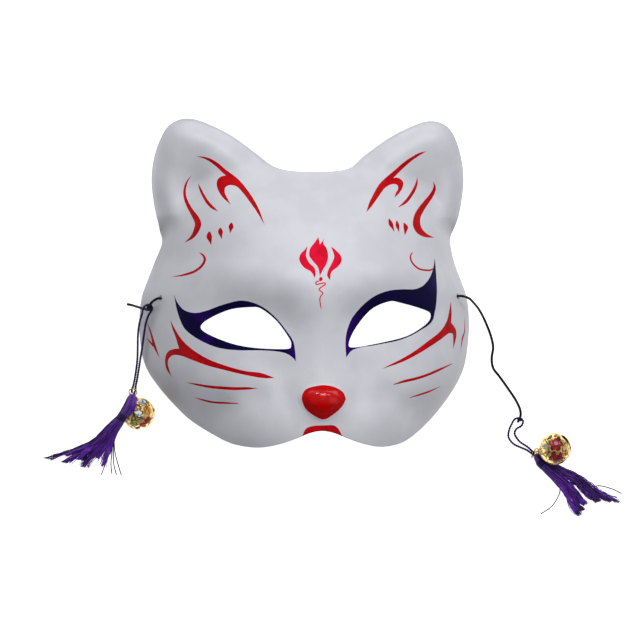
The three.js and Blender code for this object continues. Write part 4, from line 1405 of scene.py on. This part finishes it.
liner = Finish("navy_liner_paint", Specular_IOR_Level=0.06)
liner_x, _ = liner.parts(liner.place())
from_middle = liner.function("ABSOLUTE", liner_x)
tip = liner.spread(from_middle + 0.003 * liner.noise(0.005, 2), 0.0215, 0.0145)
violet_share = liner.spread(liner.noise(0.012, 2), 0.5, 0.7) * 0.35 + tip * 0.6
liner.give(
    Base_Color=liner.mix(violet_share, (0.0025, 0.0008, 0.032), (0.035, 0.001, 0.2)),
    Roughness=0.5 + 0.1 * liner.noise(0.0009, 3),
    Normal=liner.bump(liner.noise(0.0009, 3), 0.00004))

lacquer = Finish("nose_lacquer", Coat_Roughness=0.13, Specular_IOR_Level=0.05)
nose_x, nose_y = lacquer.parts(lacquer.place())
aside = lacquer.function("ABSOLUTE", nose_x)
# The crown fades out over these places, in metres: below it, above it and to each side
CROWN_BELOW, CROWN_ABOVE, CROWN_ASIDE = (-0.0645, -0.0610), (-0.0562, -0.0574), (0.0085, 0.0060)
crown = lacquer.spread(nose_y, *CROWN_BELOW) * lacquer.spread(nose_y, *CROWN_ABOVE)
crown = crown * lacquer.spread(aside, *CROWN_ASIDE)
lacquer.give(
    Base_Color=lacquer.mix(lacquer.noise(0.004, 2), (0.50, 0.0, 0.0005), (0.60, 0.0, 0.001)),
    Roughness=0.4 + 0.1 * lacquer.noise(0.0015, 3),
    Coat_Weight=crown * (0.7 + 0.2 * lacquer.noise(0.006, 2)),
    Normal=lacquer.bump(lacquer.noise(0.005, 2), 0.00006))

for paint in (plastic.material, red_paint, flame_paint, liner.material, lacquer.material):
    mask.data.materials.append(paint)
print("mask finishes:", [m.name for m in mask.data.materials])

# %% [markdown]
# ## Cord, thread and metal
# Cord patterns read the tube's own UV map: the first number is the length along it in
# millimetres and the second is the turn round it.

# %% Finishes of the cords
braid = Finish("black_braided_cord", Specular_IOR_Level=0.2)
along_cord, turn_cord = braid.along_and_turn()
BRAID_PITCH, BRAID_STRANDS = 1.1, 4
run, wind = along_cord * (2 * math.pi / BRAID_PITCH), turn_cord * (2 * BRAID_STRANDS * math.pi)
weave = braid.function(
    "MAXIMUM", braid.function("SINE", run + wind), braid.function("SINE", run - wind))
braid.give(
    Base_Color=braid.mix(
        braid.spread(weave, -0.2, 1), (0.001, 0.001, 0.0015), (0.008, 0.007, 0.010)),
    Roughness=0.62 + 0.2 * braid.noise(0.0008, 2),
    Normal=braid.bump(weave, 0.00012))

ply = Finish("purple_twisted_cord", Specular_IOR_Level=0.25)
along_ply, turn_ply = ply.along_and_turn()
fibres = ply.function("SINE", along_ply * 9.0 + turn_ply * (12 * math.pi))
ply.give(
    Base_Color=ply.mix(ply.spread(fibres + ply.noise(0.002, 2), -0.6, 1.6),
                       (0.003, 0.0005, 0.02), (0.04, 0.008, 0.16)),
    Roughness=0.42 + 0.15 * ply.noise(0.001, 2),
    Normal=ply.bump(fibres, 0.00004))

thread = Finish("purple_thread", thread_material, Specular_IOR_Level=0.6)
shade = thread.node("ShaderNodeAttribute", {"attribute_name": "thread_shade"}, output="Fac")
# Each run of threads has one share of brightness: its tone goes from nearly black, a painted shade
# between the clumps, to bright violet, a painted sheen along them
lit = thread.spread(shade, 0.15, 0.85)
# Soft patches of paler violet on the brighter threads are painted highlights
patches = thread.spread(thread.noise(0.0035, 3), 0.48, 0.68)
painted_shade_and_sheen_tone = thread.mix(lit, (0.006, 0.0005, 0.03), (0.17, 0.025, 0.52))
thread.give(
    Base_Color=thread.mix(patches * lit * 0.6, painted_shade_and_sheen_tone, (0.30, 0.08, 0.72)),
    Roughness=0.36 + 0.2 * shade)

for obj in (*black_cords.values(), *knots.values()):
    obj.data.materials.append(braid.material)
for obj in (*loops.values(), *windings.values()):
    obj.data.materials.append(ply.material)

# %% Finishes of the bells
gold = Finish("gold_plated_brass", Metallic=1.0)
# About half the gold is dark brown in random blotches, which are also rougher and raised a little
dark_mottling = gold.spread(gold.noise(0.0026, 4, roughness=0.7), 0.5, 0.6)
scratch = gold.noise(0.0007, 3)
gold_tone = gold.mix(dark_mottling, (1.0, 0.72, 0.28), (0.14, 0.05, 0.012))
gold.give(
    Base_Color=gold.mix(gold.veins(0.0062, 0.05) * 0.85, gold_tone, (0.012, 0.006, 0.004)),
    Roughness=0.22 + 0.16 * scratch + 0.2 * dark_mottling,
    Normal=gold.bump(scratch + dark_mottling, 0.00006))


def enamel_finish(name, deep, bright):
    """Shiny opaque colour with thin dark lines through it."""
    enamel = Finish(name, Specular_IOR_Level=0.3, Coat_Roughness=0.08)
    tone = enamel.spread(enamel.noise(0.0016, 3), 0.42, 0.6)
    inked = enamel.veins(0.0055, 0.05) * 0.8
    return enamel.give(
        Base_Color=enamel.mix(inked, enamel.mix(tone, deep, bright), (0.008, 0.005, 0.006)),
        Roughness=0.2 + 0.15 * enamel.noise(0.0008, 3),
        Coat_Weight=0.35 + 0.2 * tone)


ENAMELS = {
    "red_enamel": ((0.30, 0.001, 0.002), (0.72, 0.012, 0.008)),
    "dark_red_enamel": ((0.14, 0.001, 0.002), (0.42, 0.004, 0.006)),
    # White enamel also serves for the two painted highlights on the bells
    "white_enamel": ((0.30, 0.29, 0.27), (0.90, 0.90, 0.88)),
    "green_enamel": ((0.16, 0.17, 0.015), (0.60, 0.58, 0.10)),
    "orange_enamel": ((0.36, 0.05, 0.005), (0.85, 0.36, 0.05)),
    "black_enamel": ((0.006, 0.005, 0.008), (0.03, 0.02, 0.025)),
}
bell_finishes = {name: enamel_finish("bell_" + name, *tones) for name, tones in ENAMELS.items()}
for ball, eyelet in bells.values():
    for name in BELL_PAINTS:
        ball.data.materials.append(bell_finishes.get(name, gold.material))
    eyelet.data.materials.append(gold.material)
for ring in rings.values():
    ring.data.materials.append(gold.material)
print("finishes:", len(bpy.data.materials))

# %% [markdown]
# ## Joining the scene to the frame
# Each piece rides on the body, and a piece that stands for a solid hides it. The purple loops
# and black cords are free cords; their ends, thickness, routes and knots are listed below.

# %% Pieces, solids and cords
for piece, solids, material_slot in [
        (mask, ["mask_shell"], "shell_plastic"),
        (rings["left"], ["left_ring"], "ring_gold"), (rings["right"], ["right_ring"], "ring_gold"),
        (bells["left"][0], ["left_bell"], "bell_gold"), (bells["left"][1], [], "bell_gold"),
        (bells["right"][0], ["right_bell"], "bell_gold"), (bells["right"][1], [], "bell_gold"),
        (tassels["left"], ["left_tassel"], "purple_thread"),
        (tassels["right"], ["right_tassel"], "purple_thread"),
        (windings["left"], [], "purple_thread"), (windings["right"], [], "purple_thread"),
        (black_cords["left_cord"], ["left_cord"], "black_cord"),
        (black_cords["right_cord"], ["right_cord"], "black_cord"),
        (loops["left_loop"], ["left_loop"], "purple_cord"),
        (loops["right_loop"], ["right_loop"], "purple_cord"),
        *((obj, [], "black_cord") for obj in knots.values())]:
    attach(piece, "root")
    if solids:
        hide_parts(*solids)

CORD_FACTS = {
    "left_cord": (black_cords, (-80.4, -8.9, 26.2), BLACK_DIAMETER, "bare",
                  ["left_cord_knot", "left_stopper_knot"]),
    "right_cord": (black_cords, (79.2, -7.7, 27.8), BLACK_DIAMETER, "knot",
                   ["right_cord_knot", "right_stopper_knot"]),
    "left_loop": (loops, (-94.2, -59.5, 12.6), PURPLE_DIAMETER, "object", []),
    "right_loop": (loops, (126.9, -94.6, 2.9), PURPLE_DIAMETER, "object", []),
}
for name, (group, leaves, diameter, far_end, on_it) in CORD_FACTS.items():
    [c * MM for c in leaves]
    diameter * MM
    (lines[name] * MM).tolist()
print("declared cords:", ", ".join(CORD_FACTS))

# %% [markdown]
# ## Floor and light
# The mask lies on plain white paper under soft light. The paper is so bright that the
# picture shows hardly any shadow, so it gets a little light of its own. Three soft boxes
# shape the face: from beyond the ears, from above and from the right. Two small lights
# beyond the ears, one low at the left and one higher at the right, make the two highlights
# on the nose.

# %% Floor and light
floor_mesh = bpy.data.meshes.new("paper_floor")
floor_mesh.from_pydata([(-3, -3, 0), (3, -3, 0), (3, 3, 0), (-3, 3, 0)], [], [(0, 1, 2, 3)])
floor = bpy.data.objects.new("paper_floor", floor_mesh)
bpy.context.scene.collection.objects.link(floor)
paper = Finish("white_paper", Specular_IOR_Level=0.2, Emission_Strength=0.9)
paper_tone = paper.mix(paper.noise(0.02, 3), (0.86, 0.86, 0.87), (0.9, 0.9, 0.9))
floor.data.materials.append(paper.give(
    Base_Color=paper_tone, Emission_Color=(0.95, 0.95, 0.96, 1), Roughness=0.8))
floor.visible_diffuse = False


def soft_box(name, place, size, power):
    """A square area light that faces the mask."""
    data = bpy.data.lights.new(name, "AREA")
    data.shape, data.size, data.energy = "SQUARE", size, power
    light = bpy.data.objects.new(name, data)
    light.location = place
    way = Vector((0, 0, 0.05)) - Vector(place)
    light.rotation_euler = way.to_track_quat("-Z", "Y").to_euler()
    bpy.context.scene.collection.objects.link(light)
    return light


soft_box("soft_box_high", (0.1, 0.85, 0.95), 0.6, 6.9)
soft_box("soft_box_overhead", (0.0, 0.2, 1.2), 0.6, 3.6).visible_glossy = False
soft_box("soft_box_right", (1.0, -0.25, 0.75), 0.9, 1.3)
soft_box("nose_glint_left", (-0.36, 1.03, 0.36), 0.14, 1.5)
soft_box("nose_glint_right", (0.60, 0.69, 0.81), 0.11, 0.8)
world = bpy.data.worlds.new("pale_room")
world.use_nodes = True
world.node_tree.nodes["Background"].inputs[0].default_value = (0.93, 0.95, 1.0, 1)
world.node_tree.nodes["Background"].inputs[1].default_value = 0.23
bpy.context.scene.world = world
bpy.context.scene.view_settings.view_transform = "Standard"
